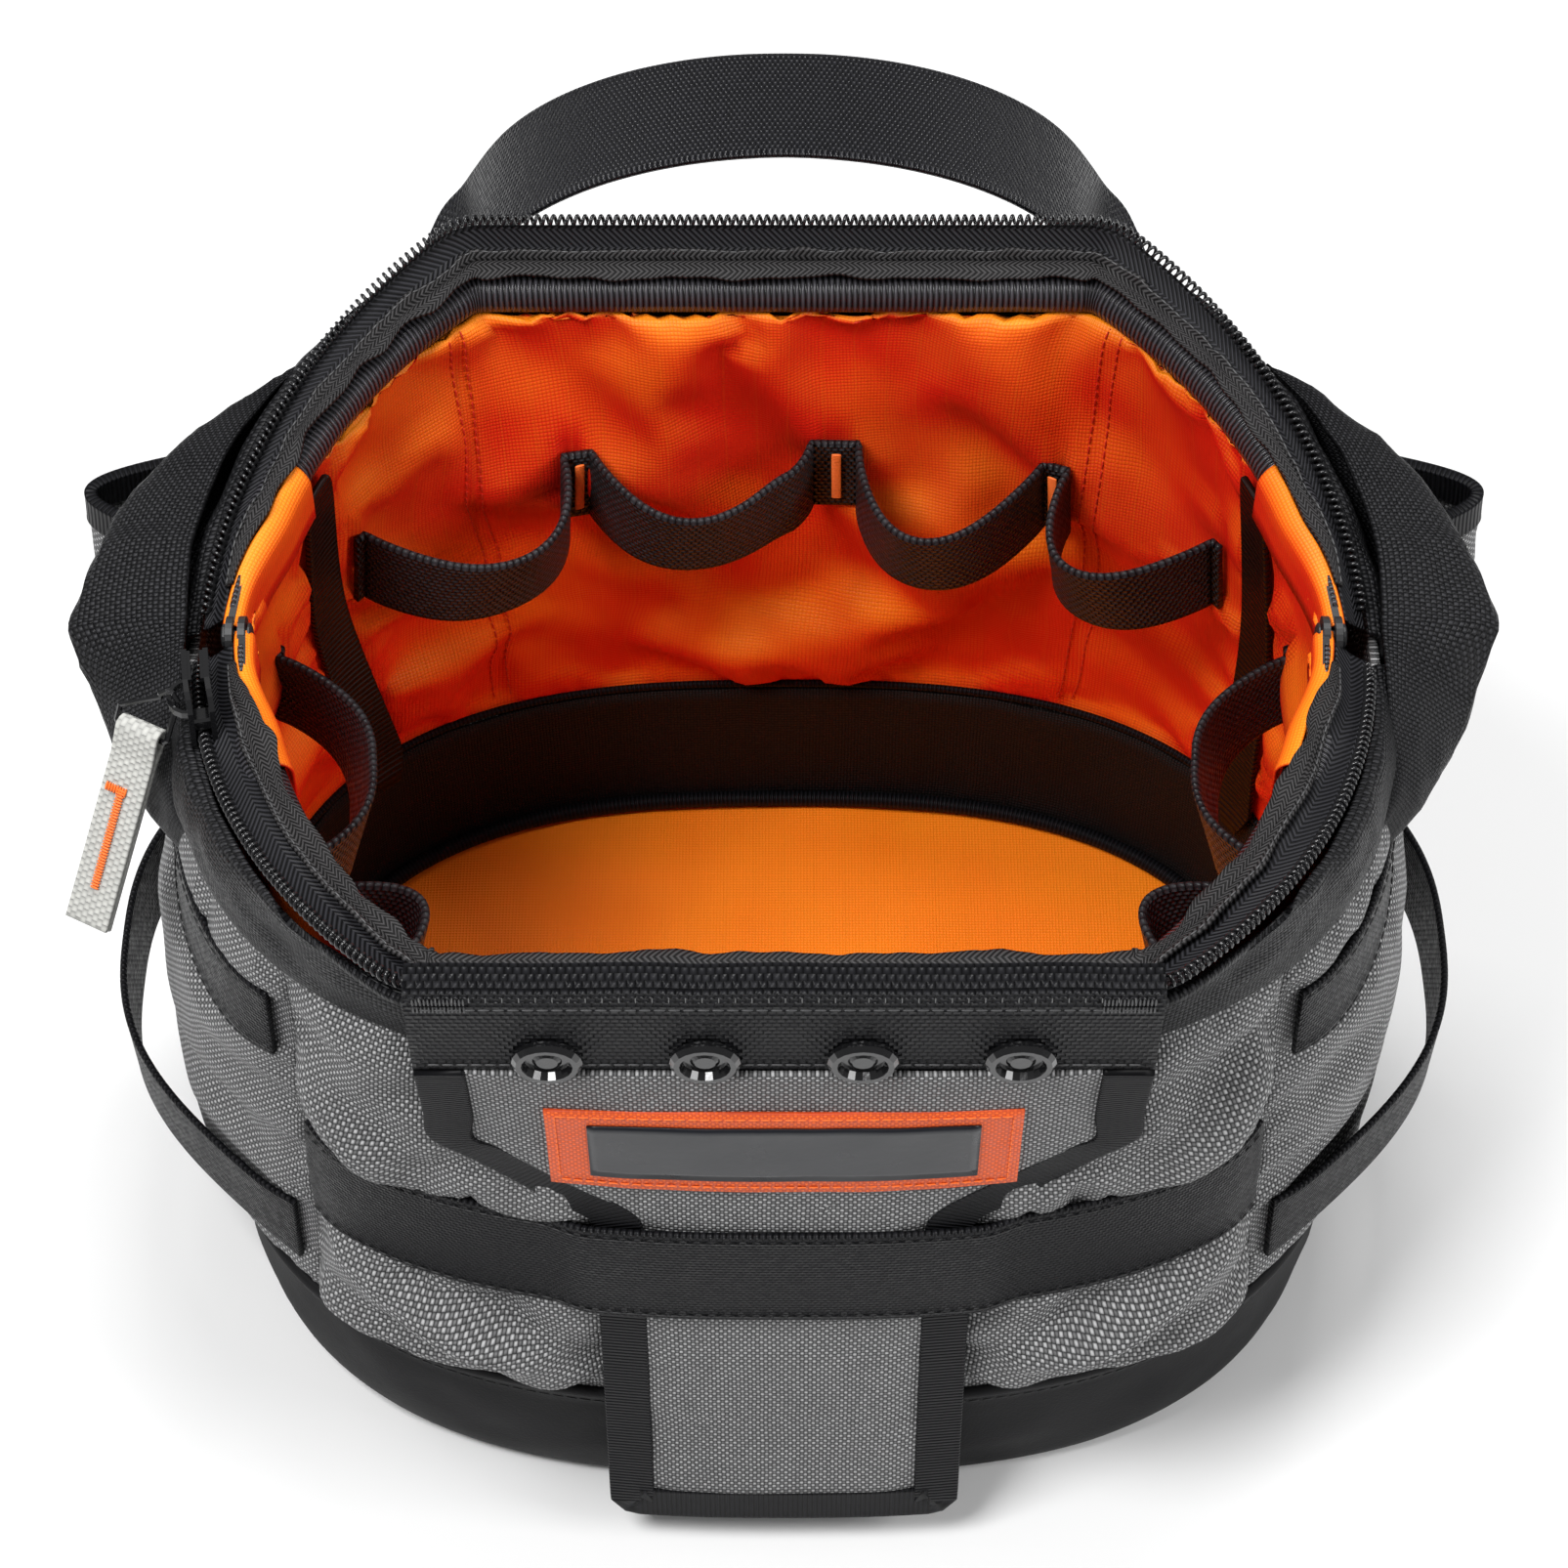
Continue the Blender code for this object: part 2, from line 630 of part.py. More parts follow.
def build_base():
    heights = [BASE_TURN_HEIGHT * share for share in BASE_TURN_SHARES] + [BAND_HEIGHT]
    angles = station_angles()
    outer = [[body_point(a, z) for z in heights] for a in angles]
    inner = []
    for a in angles:
        column = [body_point(a, z, -WALL_THICKNESS) for z in heights]
        column[0] = Vector((*column[1].xy, WALL_THICKNESS))
        column[1].z = lerp(WALL_THICKNESS, heights[2], 1 / 3)
        inner.append(column)
    add_object("base_cup", two_skins("base_cup", outer, inner, closed=True, filled=True), RUBBER, 0.6)

    board_bottom = WALL_THICKNESS + GAP
    board_top = board_bottom + BOARD_THICKNESS
    floor_bottom = board_top + GAP
    floor_top = floor_bottom + FLOOR_THICKNESS
    edge = -(WALL_THICKNESS + FABRIC_GAP)
    add_slab("base_board", edge, board_bottom, board_top, BLACK)
    add_slab("floor_panel", edge, floor_bottom, floor_top, ORANGE)

    curve = bpy.data.curves.new("floor_piping", "CURVE")
    curve.dimensions = "3D"
    curve.bevel_depth = PIPING_RADIUS
    curve.bevel_resolution = 1
    spline = curve.splines.new("POLY")
    inset = LINING_OFFSET - LINING_THICKNESS - FABRIC_GAP - PIPING_RADIUS
    level = floor_top + GAP + PIPING_RADIUS
    points = [body_point(a, level, inset) for a in angles]
    spline.points.add(len(points) - 1)
    for slot, point in zip(spline.points, points):
        slot.co = (*point, 1)
    spline.use_cyclic_u = True
    path = bpy.data.objects.new("piping_path", curve)
    CUTTERS.objects.link(path)
    mesh = evaluated_mesh(path)
    bpy.data.objects.remove(path, do_unlink=True)
    add_object("floor_piping", mesh, BLACK, smooth=True)

    band_rows = heights[2:] + [INNER_BAND_TOP]
    outer = [[body_point(a, z, LINING_OFFSET) for z in band_rows] for a in angles]
    inner = [[body_point(a, z, LINING_OFFSET - LINING_THICKNESS) for z in band_rows] for a in angles]
    add_object("inner_base_band", two_skins("inner_base_band", outer, inner, closed=True), BLACK)


def add_slab(name, offset, bottom, top, colour):
    level = BASE_TURN_HEIGHT * BASE_TURN_SHARES[1]
    ring = [body_point(a, level, offset) for a in station_angles()]
    add_object(name, loft(name, [[Vector((*p.xy, z)) for p in ring] for z in (bottom, top)]), colour)


# Pieces: walls and lining

def build_walls():
    half_gap = GAP / (2 * BELLY_HALF_WIDTH)
    seams = {
        "wall_right": (-SEAM_ANGLE, SEAM_ANGLE),
        "wall_back": (SEAM_ANGLE, math.pi - SEAM_ANGLE),
        "wall_left": (math.pi - SEAM_ANGLE, math.pi + SEAM_ANGLE),
        "wall_front": (SEAM_ANGLE - math.pi, -SEAM_ANGLE),
    }
    rows = [BAND_HEIGHT + GAP, INNER_BAND_TOP, LOOP_TOP, BELLY_HEIGHT, SIDE_WEBBING_BOTTOM,
            SIDE_WEBBING_TOP, WALL_HEIGHT]
    for name, (start, end) in seams.items():
        angles = station_angles(start, end)
        angles[0] += half_gap
        angles[-1] -= half_gap
        outer = [[body_point(a, z) for z in rows] for a in angles]
        inner = [[body_point(a, z, -WALL_THICKNESS) for z in rows] for a in angles]
        add_object(name, two_skins(name, outer, inner), GREY)


def build_lining():
    half_gap = GAP / (2 * LINING_TOP_HALF_WIDTH)
    for name, start in (("lining_back", 0), ("lining_front", math.pi)):
        angles = station_angles(start, start + math.pi)
        angles[0] += half_gap
        angles[-1] -= half_gap
        skins = []
        for offset in (0, -LINING_THICKNESS):
            skins.append([[lining_point(a, lerp(LINING_BOTTOM, lining_top(a), share), offset)
                           for share in LINING_ROW_SHARES] for a in angles])
        add_object(name, two_skins(name, *skins), ORANGE)


def ear_section(along, drop, bottom):
    """Points (x, z) and y of the folded gusset, along from its tip (0) to the front (-1) or back (1)."""
    run, taper = (EAR_FRONT_RUN, EAR_FRONT_TAPER) if along < 0 else (EAR_BACK_RUN, EAR_BACK_TAPER)
    edge, mouth_level = ((EAR_FRONT_LEVEL, EAR_FRONT_MOUTH_LEVEL) if along < 0
                         else (EAR_BACK_LEVEL, EAR_BACK_LEVEL))
    y = EAR_TIP_DEPTH + run * along
    level = lerp(EAR_TIP_LEVEL, edge, drop)
    top = lerp(EAR_MOUTH_LEVEL, mouth_level, abs(along))
    wall = body_side(y, WALL_HEIGHT, FABRIC_GAP)
    foot = body_side(y, bottom, FABRIC_GAP)
    low = lerp(bottom, WALL_HEIGHT, 0.5)
    tip = lerp(EAR_REACH, wall + EAR_END_THICKNESS, abs(along) ** taper)
    mouth = MOUTH_HALF_WIDTH + TAPE_THICKNESS + COLLAR_THICKNESS + FABRIC_GAP
    away = min(abs(y - EAR_TIP_DEPTH) / EAR_MOUTH_RUN, 1)
    edge_height = min(EAR_EDGE, (level - bottom) / 2)
    return y, (
        (foot, bottom),
        (foot + EAR_END_THICKNESS, bottom),
        (lerp(wall + EAR_END_THICKNESS, tip, 0.6), lerp(bottom, level, 0.45)),
        (tip, level - edge_height),
        (tip - EAR_END_THICKNESS / 2, level),
        (lerp(mouth, wall, away), top),
        (wall, WALL_HEIGHT + GAP),
        (body_side(y, low, FABRIC_GAP), low),
    )


def build_ears():
    stations = [ear_section(-along, drop, EAR_BOTTOM) for along, drop in EAR_FRONT_SHARES]
    sleeve_start = body_point(SLEEVE_START_ANGLE, SLEEVE_TOP).y
    for along in EAR_BACK_SHARES:
        over_sleeve = EAR_TIP_DEPTH + EAR_BACK_RUN * along > sleeve_start - EAR_EDGE
        stations.append(ear_section(along, along, EAR_BACK_BOTTOM if over_sleeve else EAR_BOTTOM))
    for side, word in ((LEFT, "left"), (RIGHT, "right")):
        sections = [[Vector((side * x, y, z)) for x, z in outline] for y, outline in stations]
        name = "ear_gusset_" + word
        add_object(name, loft(name, sections), BLACK)


# Pieces: front panel

def panel_edge(inset):
    """Right edge of the T-shaped panel from its top to the middle of its tail, set in by inset."""
    run = PANEL_HEAD_HALF_WIDTH - PANEL_TAIL_HALF_WIDTH
    drop = PANEL_TAPER_TOP - PANEL_TAPER_BOTTOM
    turn = math.atan2(run, drop)
    mitre = inset * math.tan(turn / 2)
    head = PANEL_HEAD_HALF_WIDTH - inset
    tail = PANEL_TAIL_HALF_WIDTH - inset
    foot = PANEL_BOTTOM + inset
    corner = PANEL_INNER_CORNER if inset else PANEL_CORNER
    taper = [(lerp(head, tail, share), lerp(PANEL_TAPER_TOP, PANEL_TAPER_BOTTOM, share) + mitre)
             for share in (0, 0.25, 0.5, 0.75, 1)]
    return [(head, PANEL_TOP), (head, (PANEL_TOP + PANEL_TAPER_TOP) / 2), *taper,
            (tail, BELLY_HEIGHT), (tail, BELT_BOTTOM), (tail, BAND_HEIGHT), (tail, foot + corner),
            (tail - corner, foot), (0, foot)]


def panel_point(x, z, offset):
    """The panel leans out to the straight rim at the top and stands off at its tail."""
    resting = body_depth(x, z) + FABRIC_GAP
    lean = min(max((z - PANEL_LEAN_START) / (PANEL_TOP - PANEL_LEAN_START), 0), 1)
    depth = lerp(resting, HEAD_FOOT_DEPTH, lean)
    if z < BELT_BOTTOM:
        depth += TAIL_STAND_OFF * (BELT_BOTTOM - z) / (BELT_BOTTOM - PANEL_BOTTOM)
    if z < BASE_TURN_HEIGHT:
        depth += body_depth(x, BASE_TURN_HEIGHT) - body_depth(x, z)
    return Vector((x, -(depth + offset), z))


def build_panel():
    middle = BINDING_THICKNESS / 2
    edge = panel_edge(BINDING_WIDTH + GAP)[:-1]
    columns = [[panel_point(share * x, z, middle) for x, z in reversed(edge)]
               for share in PANEL_COLUMN_SHARES]
    sheet("flap_panel", columns, PANEL_THICKNESS, GREY)

    right = list(zip(panel_edge(0), panel_edge(BINDING_WIDTH)))
    left = [((-a[0], a[1]), (-b[0], b[1])) for a, b in right[:-1]]
    columns = [[panel_point(*b, middle), panel_point(*a, middle)] for a, b in left + right[::-1]]
    sheet("flap_binding", columns, BINDING_THICKNESS, BLACK)

    patch = BINDING_THICKNESS + FABRIC_GAP + LABEL_THICKNESS / 2
    window = patch + (LABEL_THICKNESS + WINDOW_THICKNESS) / 2 + GAP
    add_label("label_patch", LABEL_HALF_WIDTH, LABEL_BOTTOM, LABEL_TOP, patch, LABEL_THICKNESS, ORANGE)
    add_label("label_window", WINDOW_HALF_WIDTH, WINDOW_BOTTOM, WINDOW_TOP, window, WINDOW_THICKNESS,
              BLACK)


def add_label(name, half_width, bottom, top, offset, thickness, colour):
    rows = [lerp(bottom, top, share) for share in (0, 0.5, 1)]
    columns = [[panel_point(share * half_width, z, offset) for z in rows]
               for share in PANEL_COLUMN_SHARES]
    sheet(name, columns, thickness, colour, 0.5)


def head_depth(z):
    share = (z - HEAD_BOTTOM) / (HEAD_KNEE - HEAD_BOTTOM)
    return lerp(HEAD_FOOT_DEPTH, HEAD_DEPTH, min(share, 1))


def build_head():
    columns = [[Vector((share * PANEL_HEAD_HALF_WIDTH, -(head_depth(z) + WEBBING_THICKNESS / 2), z))
                for z in (HEAD_BOTTOM, HEAD_KNEE, HEAD_TOP)] for share in PANEL_COLUMN_SHARES[::2]]
    sheet("flap_head_webbing", columns, WEBBING_THICKNESS, BLACK)
    profile = [(SNAP_RADIUS * out, SNAP_HEIGHT * up) for out, up in SNAP_PROFILE_SHARES]
    lean = math.atan2(HEAD_DEPTH - HEAD_FOOT_DEPTH, HEAD_KNEE - HEAD_BOTTOM)
    away = WEBBING_THICKNESS / math.cos(lean) + GAP
    for word, share in SNAP_POSITION_SHARES.items():
        snap = add_object("snap_" + word, turned("snap_" + word, profile), BLACK, 0.25, 0.8,
                          smooth=True)
        snap.matrix_world = (
            Matrix.Translation((share * SNAP_SPACING, -(head_depth(SNAP_LEVEL) + away), SNAP_LEVEL))
            @ Matrix.Rotation(math.pi / 2 + lean, 4, "X"))


# Pieces: webbing outside

def strap_angles(start, end, cuts):
    """Stations from start to end with each stretch cut into a number of equal steps."""
    angles = station_angles(start, end)
    fine = [lerp(a, b, i / cuts) for a, b in zip(angles, angles[1:]) for i in range(cuts)]
    return fine + [angles[-1]]


def build_belt():
    lifted = BINDING_THICKNESS + GAP
    reach = math.pi / 2 - SEAM_ANGLE - SEAM_MARGIN_ANGLE
    start = -math.pi / 2 - reach
    columns = []
    for angle in strap_angles(start, start + 2 * reach, 3):
        column = []
        for z in (BELT_BOTTOM, BELLY_HEIGHT, BELT_TOP):
            x = on_chord(body_point, angle, z).x
            shoulder = (abs(x) - PANEL_TAIL_HALF_WIDTH - BINDING_THICKNESS) / BINDING_WIDTH
            offset = FABRIC_GAP + WEBBING_THICKNESS / 2 + lifted * (1 - smoothstep(shoulder))
            column.append(on_chord(body_point, angle, z, offset))
        columns.append(column)
    sheet("belt_webbing", columns, WEBBING_THICKNESS, BLACK)


def side_columns(side, start, end, rows, base, bulge, cuts=2):
    """Columns up a strap on a side wall, which stands off by base and by bulge at its middle."""
    columns = []
    for angle in strap_angles(start, end, cuts):
        slack = bulge * math.sin(math.pi * (angle - start) / (end - start)) ** 2
        column = [on_chord(body_point, angle, z, base) for z in rows]
        columns.append([Vector((side * (p.x + slack), p.y, p.z)) for p in column])
    return columns


def build_side_straps():
    base = FABRIC_GAP + GAP + WEBBING_THICKNESS / 2
    over = base + WEBBING_THICKNESS + GAP
    rim = SLEEVE_TOP - SLEEVE_BINDING_HEIGHT
    for side, word in ((LEFT, "left"), (RIGHT, "right")):
        flat = side_columns(side, -SIDE_REACH, SIDE_REACH, (SIDE_WEBBING_BOTTOM, SIDE_WEBBING_TOP),
                            base, 0, 1)
        sheet("side_webbing_" + word, flat, WEBBING_THICKNESS, BLACK)
        slack = side_columns(side, -SIDE_REACH, SIDE_REACH, (LOOP_BOTTOM, LOOP_TOP), base, LOOP_BULGE)
        sheet("hammer_loop_" + word, slack, WEBBING_THICKNESS, BLACK)
        pocket = side_columns(side, SLEEVE_START_ANGLE, SIDE_REACH, (SLEEVE_BOTTOM, rim - GAP), over,
                              SLEEVE_BULGE, 3)
        sheet("back_sleeve_" + word, pocket, WEBBING_THICKNESS, GREY)
        bound = side_columns(side, SLEEVE_START_ANGLE, SIDE_REACH, (rim, SLEEVE_TOP), over,
                             SLEEVE_BULGE, 3)
        sheet("sleeve_binding_" + word, bound, BINDING_THICKNESS, BLACK)


# Pieces: handle

def build_handle():
    anchor_top = HANDLE_HINGE_HEIGHT - GAP
    away = FABRIC_GAP + HANDLE_THICKNESS / 2
    for side, word in ((LEFT, "left"), (RIGHT, "right")):
        columns = []
        for share in PANEL_COLUMN_SHARES[::2]:
            x = side * (HANDLE_HALF_SPAN + share * HANDLE_WIDTH / 2)
            columns.append([Vector((x, body_depth(x, z, away), z))
                            for z in (HANDLE_ANCHOR_BOTTOM, anchor_top)])
        sheet("handle_anchor_" + word, columns, HANDLE_THICKNESS, BLACK)

    foot = body_depth(HANDLE_HALF_SPAN, HANDLE_HINGE_HEIGHT, away)
    half = []
    for rise, out, turn in HANDLE_LEG_SHARES:
        half.append((HANDLE_HALF_SPAN, lerp(foot, HANDLE_LEG_DEPTH, out),
                     lerp(HANDLE_HINGE_HEIGHT, HANDLE_ARCH_FOOT, rise), turn, 0))
    arch_steps = 12
    for i in range(1, arch_steps + 1):
        share = i / arch_steps
        angle = share * math.pi / 2
        turn = HANDLE_ARCH_TURN_SHARES[min(i, len(HANDLE_ARCH_TURN_SHARES) - 1)]
        half.append((HANDLE_HALF_SPAN * math.cos(angle),
                     lerp(HANDLE_LEG_DEPTH, HANDLE_APEX_DEPTH, smoothstep(share)),
                     HANDLE_ARCH_FOOT + HANDLE_RISE * math.sin(angle), turn, share * HANDLE_TILT))
    columns = []
    path = [(-x, *rest) for x, *rest in half[:-1]] + half[::-1]
    for x, y, z, turn, tilt in path:
        side = -1 if x > 0 else 1
        across = Vector((side * math.cos(math.radians(turn)), -math.sin(math.radians(turn)), 0))
        reach = across * HANDLE_WIDTH / 2 + Vector((0, 0, tilt / 2))
        columns.append([Vector((x, y, z)) + reach, Vector((x, y, z)) - reach])
    strap = sheet("handle_strap", columns, HANDLE_THICKNESS, BLACK)
    outermost = foot + HANDLE_WIDTH / 2 * math.sin(math.radians(-HANDLE_LEG_SHARES[0][2]))
    set_origin(strap, Vector((0, outermost + HANDLE_THICKNESS / 2, HANDLE_HINGE_HEIGHT)))


# Pieces: inside

def inside_loops(name, tacks):
    """Webbing that stands off the lining between tacks."""
    columns = []
    steps = 8
    against = -(LINING_THICKNESS + FABRIC_GAP + WEBBING_THICKNESS / 2)
    for start, end in zip(tacks, tacks[1:]):
        for i in range(steps + (1 if end == tacks[-1] else 0)):
            share = i / steps
            angle = lerp(start, end, share)
            offset = against - TOOL_LOOP_BULGE * math.sin(math.pi * share) ** 2
            columns.append([on_chord(lining_point, angle, z, offset)
                            for z in (TOOL_LOOP_BOTTOM, TOOL_LOOP_TOP)])
    sheet(name, columns, WEBBING_THICKNESS, BLACK)


def build_inside():
    inside_loops("tool_loops_back", BACK_TACK_ANGLES)
    inside_loops("tool_loops_front", FRONT_TACK_ANGLES)
    inside_loops("tool_loops_right", RIGHT_TACK_ANGLES)
    inside_loops("tool_loops_left", LEFT_TACK_ANGLES)

    for side, word in ((LEFT, "left"), (RIGHT, "right")):
        columns = []
        for across in (-0.5, 0, 0.5):
            column = []
            for share, width in STAY_ROW_SHARES:
                z = lerp(STAY_BOTTOM, STAY_TOP, share)
                angle = lerp(STAY_BOTTOM_ANGLE, STAY_TOP_ANGLE, share)
                angle += across * width * STAY_WIDTH / LINING_TOP_HALF_WIDTH
                offset = -(LINING_THICKNESS + FABRIC_GAP + STAY_THICKNESS / 2)
                if z < LINING_BOTTOM:
                    offset -= LINING_THICKNESS
                point = on_chord(lining_point, angle, max(z, LINING_BOTTOM), offset)
                column.append(Vector((side * point.x, point.y, z)))
            columns.append(column)
        sheet("side_stay_" + word, columns, STAY_THICKNESS, BROWN, 0.4)


# Pieces: mouth halves

def build_mouth_half(half, word, inset):
    runs = mouth_runs(ZIP_END_GAP)
    columns = [[fabric_point(half, run, drop, 0) for drop in (TAPE_HEIGHT, 0)] for run in runs]
    sheet("zip_tape_" + word, columns, TAPE_THICKNESS, BLACK)

    count = int((MOUTH_LENGTH - CHAIN_END_GAP) * 2 / TOOTH_PITCH)
    base = -(CHAIN_HALF_GAP + TOOTH_HEIGHT)
    grids = []
    for out in (TOOTH_THICKNESS / 2, -TOOTH_THICKNESS / 2):
        grid = []
        for index in range(-count, count + 1):
            run = index * TOOTH_PITCH / 2
            top = -CHAIN_HALF_GAP if index % 2 else base + TOOTH_ROOT
            grid.append([rim_point(half, run, base, out), rim_point(half, run, top, out)])
        grids.append(grid)
    add_object("zip_teeth_" + word, two_skins("zip_teeth_" + word, *grids), BLACK, 0.35)

    inside = TAPE_THICKNESS / 2 + GAP + FACING_THICKNESS / 2
    columns = []
    for run in mouth_runs(CHANNEL_END_GAP):
        top = fabric_point(half, run, FACING_TOP_DROP, -inside)
        wrap = 1 - min(max((abs(run) - MOUTH_STRAIGHT) / CORNER_LENGTH, 0), 1)
        low = bow_point(half, run, lerp(inside, inset + FACING_REACH, wrap),
                        CHANNEL_RADIUS + FACING_THICKNESS)
        if wrap < MERGE_DISTANCE:
            low.z = top.z - FACING_LEAST_HEIGHT
        columns.append([low, top])
    sheet("facing_band_" + word, columns, FACING_THICKNESS, BLACK)

    inner_out = TAPE_THICKNESS / 2 + GAP
    grids = []
    for top_out, offset in ((inner_out + COLLAR_THICKNESS, 0), (inner_out, -COLLAR_THICKNESS)):
        grid = []
        for run in runs:
            along, away = mouth_plan(run)[:2]
            power = BODY_SQUARENESS / 2
            angle = math.atan2(half * max(away / MOUTH_RADIAL_DEPTH, 0) ** power,
                               math.copysign((abs(along) / MOUTH_HALF_WIDTH) ** power, along))
            low = body_point(angle, WALL_HEIGHT, offset)
            low.z = WALL_HEIGHT + GAP
            high = fabric_point(half, run, COLLAR_TOP_DROP, top_out)
            grid.append([Vector((*low.xy.lerp(high.xy, out), lerp(low.z, high.z, up)))
                         for up, out in COLLAR_ROW_SHARES])
        grids.append(grid)
    add_object("collar_" + word, two_skins("collar_" + word, *grids), BLACK)

    channel_runs = mouth_runs(CHANNEL_END_GAP)
    curve = bpy.data.curves.new("channel_path", "CURVE")
    curve.dimensions = "3D"
    curve.bevel_depth = CHANNEL_RADIUS
    curve.bevel_resolution = 2
    spline = curve.splines.new("POLY")
    spline.points.add(len(channel_runs) - 1)
    for slot, run in zip(spline.points, channel_runs):
        slot.co = (*bow_point(half, run, inset, 0), 1)
    path = bpy.data.objects.new("channel_path", curve)
    CUTTERS.objects.link(path)
    mesh = evaluated_mesh(path)
    bpy.data.objects.remove(path, do_unlink=True)
    channel = add_object("bow_channel_" + word, mesh, BLACK)
    wall = channel.modifiers.new("wall", "SOLIDIFY")
    wall.thickness = CHANNEL_WALL
    wall.offset = -1
    wall.use_even_offset = True

    sections = []
    for run in mouth_runs(0):
        sections.append([bow_point(half, run, inset + BOW_THICKNESS * across, BOW_HEIGHT * up)
                         for across, up in ((-0.5, -0.5), (0.5, -0.5), (0.5, 0.5), (-0.5, 0.5))])
    bow = add_object("bow_" + word, loft("bow_" + word, sections), STEEL, 0.35, 1)
    for side in (LEFT, RIGHT):
        centre = bow_point(half, side * MOUTH_LENGTH, inset, 0)
        centre.y = 0
        eye = rod("eye_" + word, EYE_RADIUS, BOW_THICKNESS, centre, (1, 0, 0))
        boolean(bow, eye, "UNION")
        hole = rod("eye_hole_" + word, EYE_HOLE_RADIUS, BOW_THICKNESS * 3, centre, (1, 0, 0))
        boolean(bow, hole, "DIFFERENCE")


def build_pins():
    outer = MOUTH_HALF_WIDTH - BACK_BOW_INSET + BOW_THICKNESS / 2 + GAP
    inner = MOUTH_HALF_WIDTH - FRONT_BOW_INSET - BOW_THICKNESS / 2 - GAP
    inner -= EYE_RADIUS / math.tan(MOUTH_END_TURN)
    half = (outer - inner) / 2
    profile = (
        (0, half + PIN_HEAD_THICKNESS), (PIN_HEAD_RADIUS * 0.7, half + PIN_HEAD_THICKNESS),
        (PIN_HEAD_RADIUS, half + PIN_HEAD_THICKNESS / 2), (PIN_HEAD_RADIUS, half),
        (PIN_RADIUS, half), (PIN_RADIUS, -half), (PIN_HEAD_RADIUS, -half),
        (PIN_HEAD_RADIUS, -half - PIN_HEAD_THICKNESS / 2),
        (PIN_HEAD_RADIUS * 0.7, -half - PIN_HEAD_THICKNESS), (0, -half - PIN_HEAD_THICKNESS),
    )
    for side, word in ((LEFT, "left"), (RIGHT, "right")):
        name = "hinge_pin_" + word
        mesh = turned(name, profile, 16)
        pin = add_object(name, mesh, STEEL, 0.35, 1, smooth=True)
        pin.matrix_world = (Matrix.Translation((side * (outer + inner) / 2, 0, HINGE_HEIGHT))
                            @ Matrix.Rotation(math.pi / 2, 4, "Y"))


# Pieces: slider, puller and tag

def slider_run(shift):
    """Run along the left leg of the front half, shift metres ahead of the slider's centre."""
    return -(MOUTH_LENGTH - SLIDER_CENTRE - shift)


def slider_block(name, stations, outs):
    """Block that follows the chain through (shift, low lift, high lift) stations."""
    sections = []
    for shift, low, high in stations:
        run = slider_run(shift)
        sections.append([rim_point(FRONT, run, lift, out)
                         for lift, out in ((low, outs[0]), (low, outs[1]), (high, outs[1]),
                                           (high, outs[0]))])
    return loft(name, sections)


def build_slider():
    channel = TOOTH_THICKNESS / 2 + SLIDER_CLEARANCE
    outer = channel + SLIDER_PLATE
    tail, nose = -SLIDER_HALF_LENGTH, SLIDER_HALF_LENGTH
    waist = lerp(tail, nose, SLIDER_TAIL_SHARES[-1][0])
    stations = []
    for shares, half_width in ((SLIDER_TAIL_SHARES, SLIDER_TAIL_HALF_WIDTH),
                               (SLIDER_NOSE_SHARES, SLIDER_NOSE_HALF_WIDTH)):
        stations += [(lerp(tail, nose, at), -half_width * wide, half_width * wide)
                     for at, wide in shares]
    slider = add_object("zip_slider", slider_block("zip_slider", stations, (channel, outer)),
                        BLACK, 0.25, 0.6)
    inner = tool("slider_inner_plate", slider_block("slider_inner_plate", stations, (-outer, -channel)))
    boolean(slider, inner, "UNION")
    half = SLIDER_POST_HALF_HEIGHT
    bridge = outer - SLIDER_PLATE / 2
    post = ((lerp(nose, tail, 0.3), -half / 2, half / 2), (nose - SLIDER_POST_LENGTH / 2, -half, half),
            (nose - SLIDER_POST_LENGTH / 4, -half, half))
    boolean(slider, tool("slider_post", slider_block("slider_post", post, (-bridge, bridge))), "UNION")
    edge = SLIDER_TAIL_HALF_WIDTH
    lip_reach = channel - SLIDER_LIP
    for sign, word in ((-1, "lower"), (1, "upper")):
        low, high = sorted((sign * (edge - SLIDER_LIP / 4), sign * (edge - SLIDER_PLATE)))
        lip = ((lerp(tail, nose, 0.1), low, high), (waist, low, high))
        for out_sign, out_word in ((-1, "inner"), (1, "outer")):
            outs = sorted((out_sign * lip_reach, out_sign * bridge))
            mesh = slider_block("slider_lip", lip, outs)
            boolean(slider, tool("slider_lip_" + word + "_" + out_word, mesh), "UNION")
    arch = []
    arch_steps = 8
    for i in range(arch_steps + 1):
        angle = math.pi * i / arch_steps
        for_shift = -BAIL_HALF_LENGTH * math.cos(angle)
        for_out = bridge + BAIL_RISE * math.sin(angle)
        thin_shift = -(BAIL_HALF_LENGTH - BAIL_THICKNESS) * math.cos(angle)
        thin_out = bridge + (BAIL_RISE - BAIL_THICKNESS) * math.sin(angle)
        arch.append([rim_point(FRONT, slider_run(shift), lift, out)
                     for shift, out, lift in ((for_shift, for_out, -BAIL_HALF_WIDTH),
                                              (for_shift, for_out, BAIL_HALF_WIDTH),
                                              (thin_shift, thin_out, BAIL_HALF_WIDTH),
                                              (thin_shift, thin_out, -BAIL_HALF_WIDTH))])
    boolean(slider, tool("slider_bail", loft("slider_bail", arch)), "UNION")


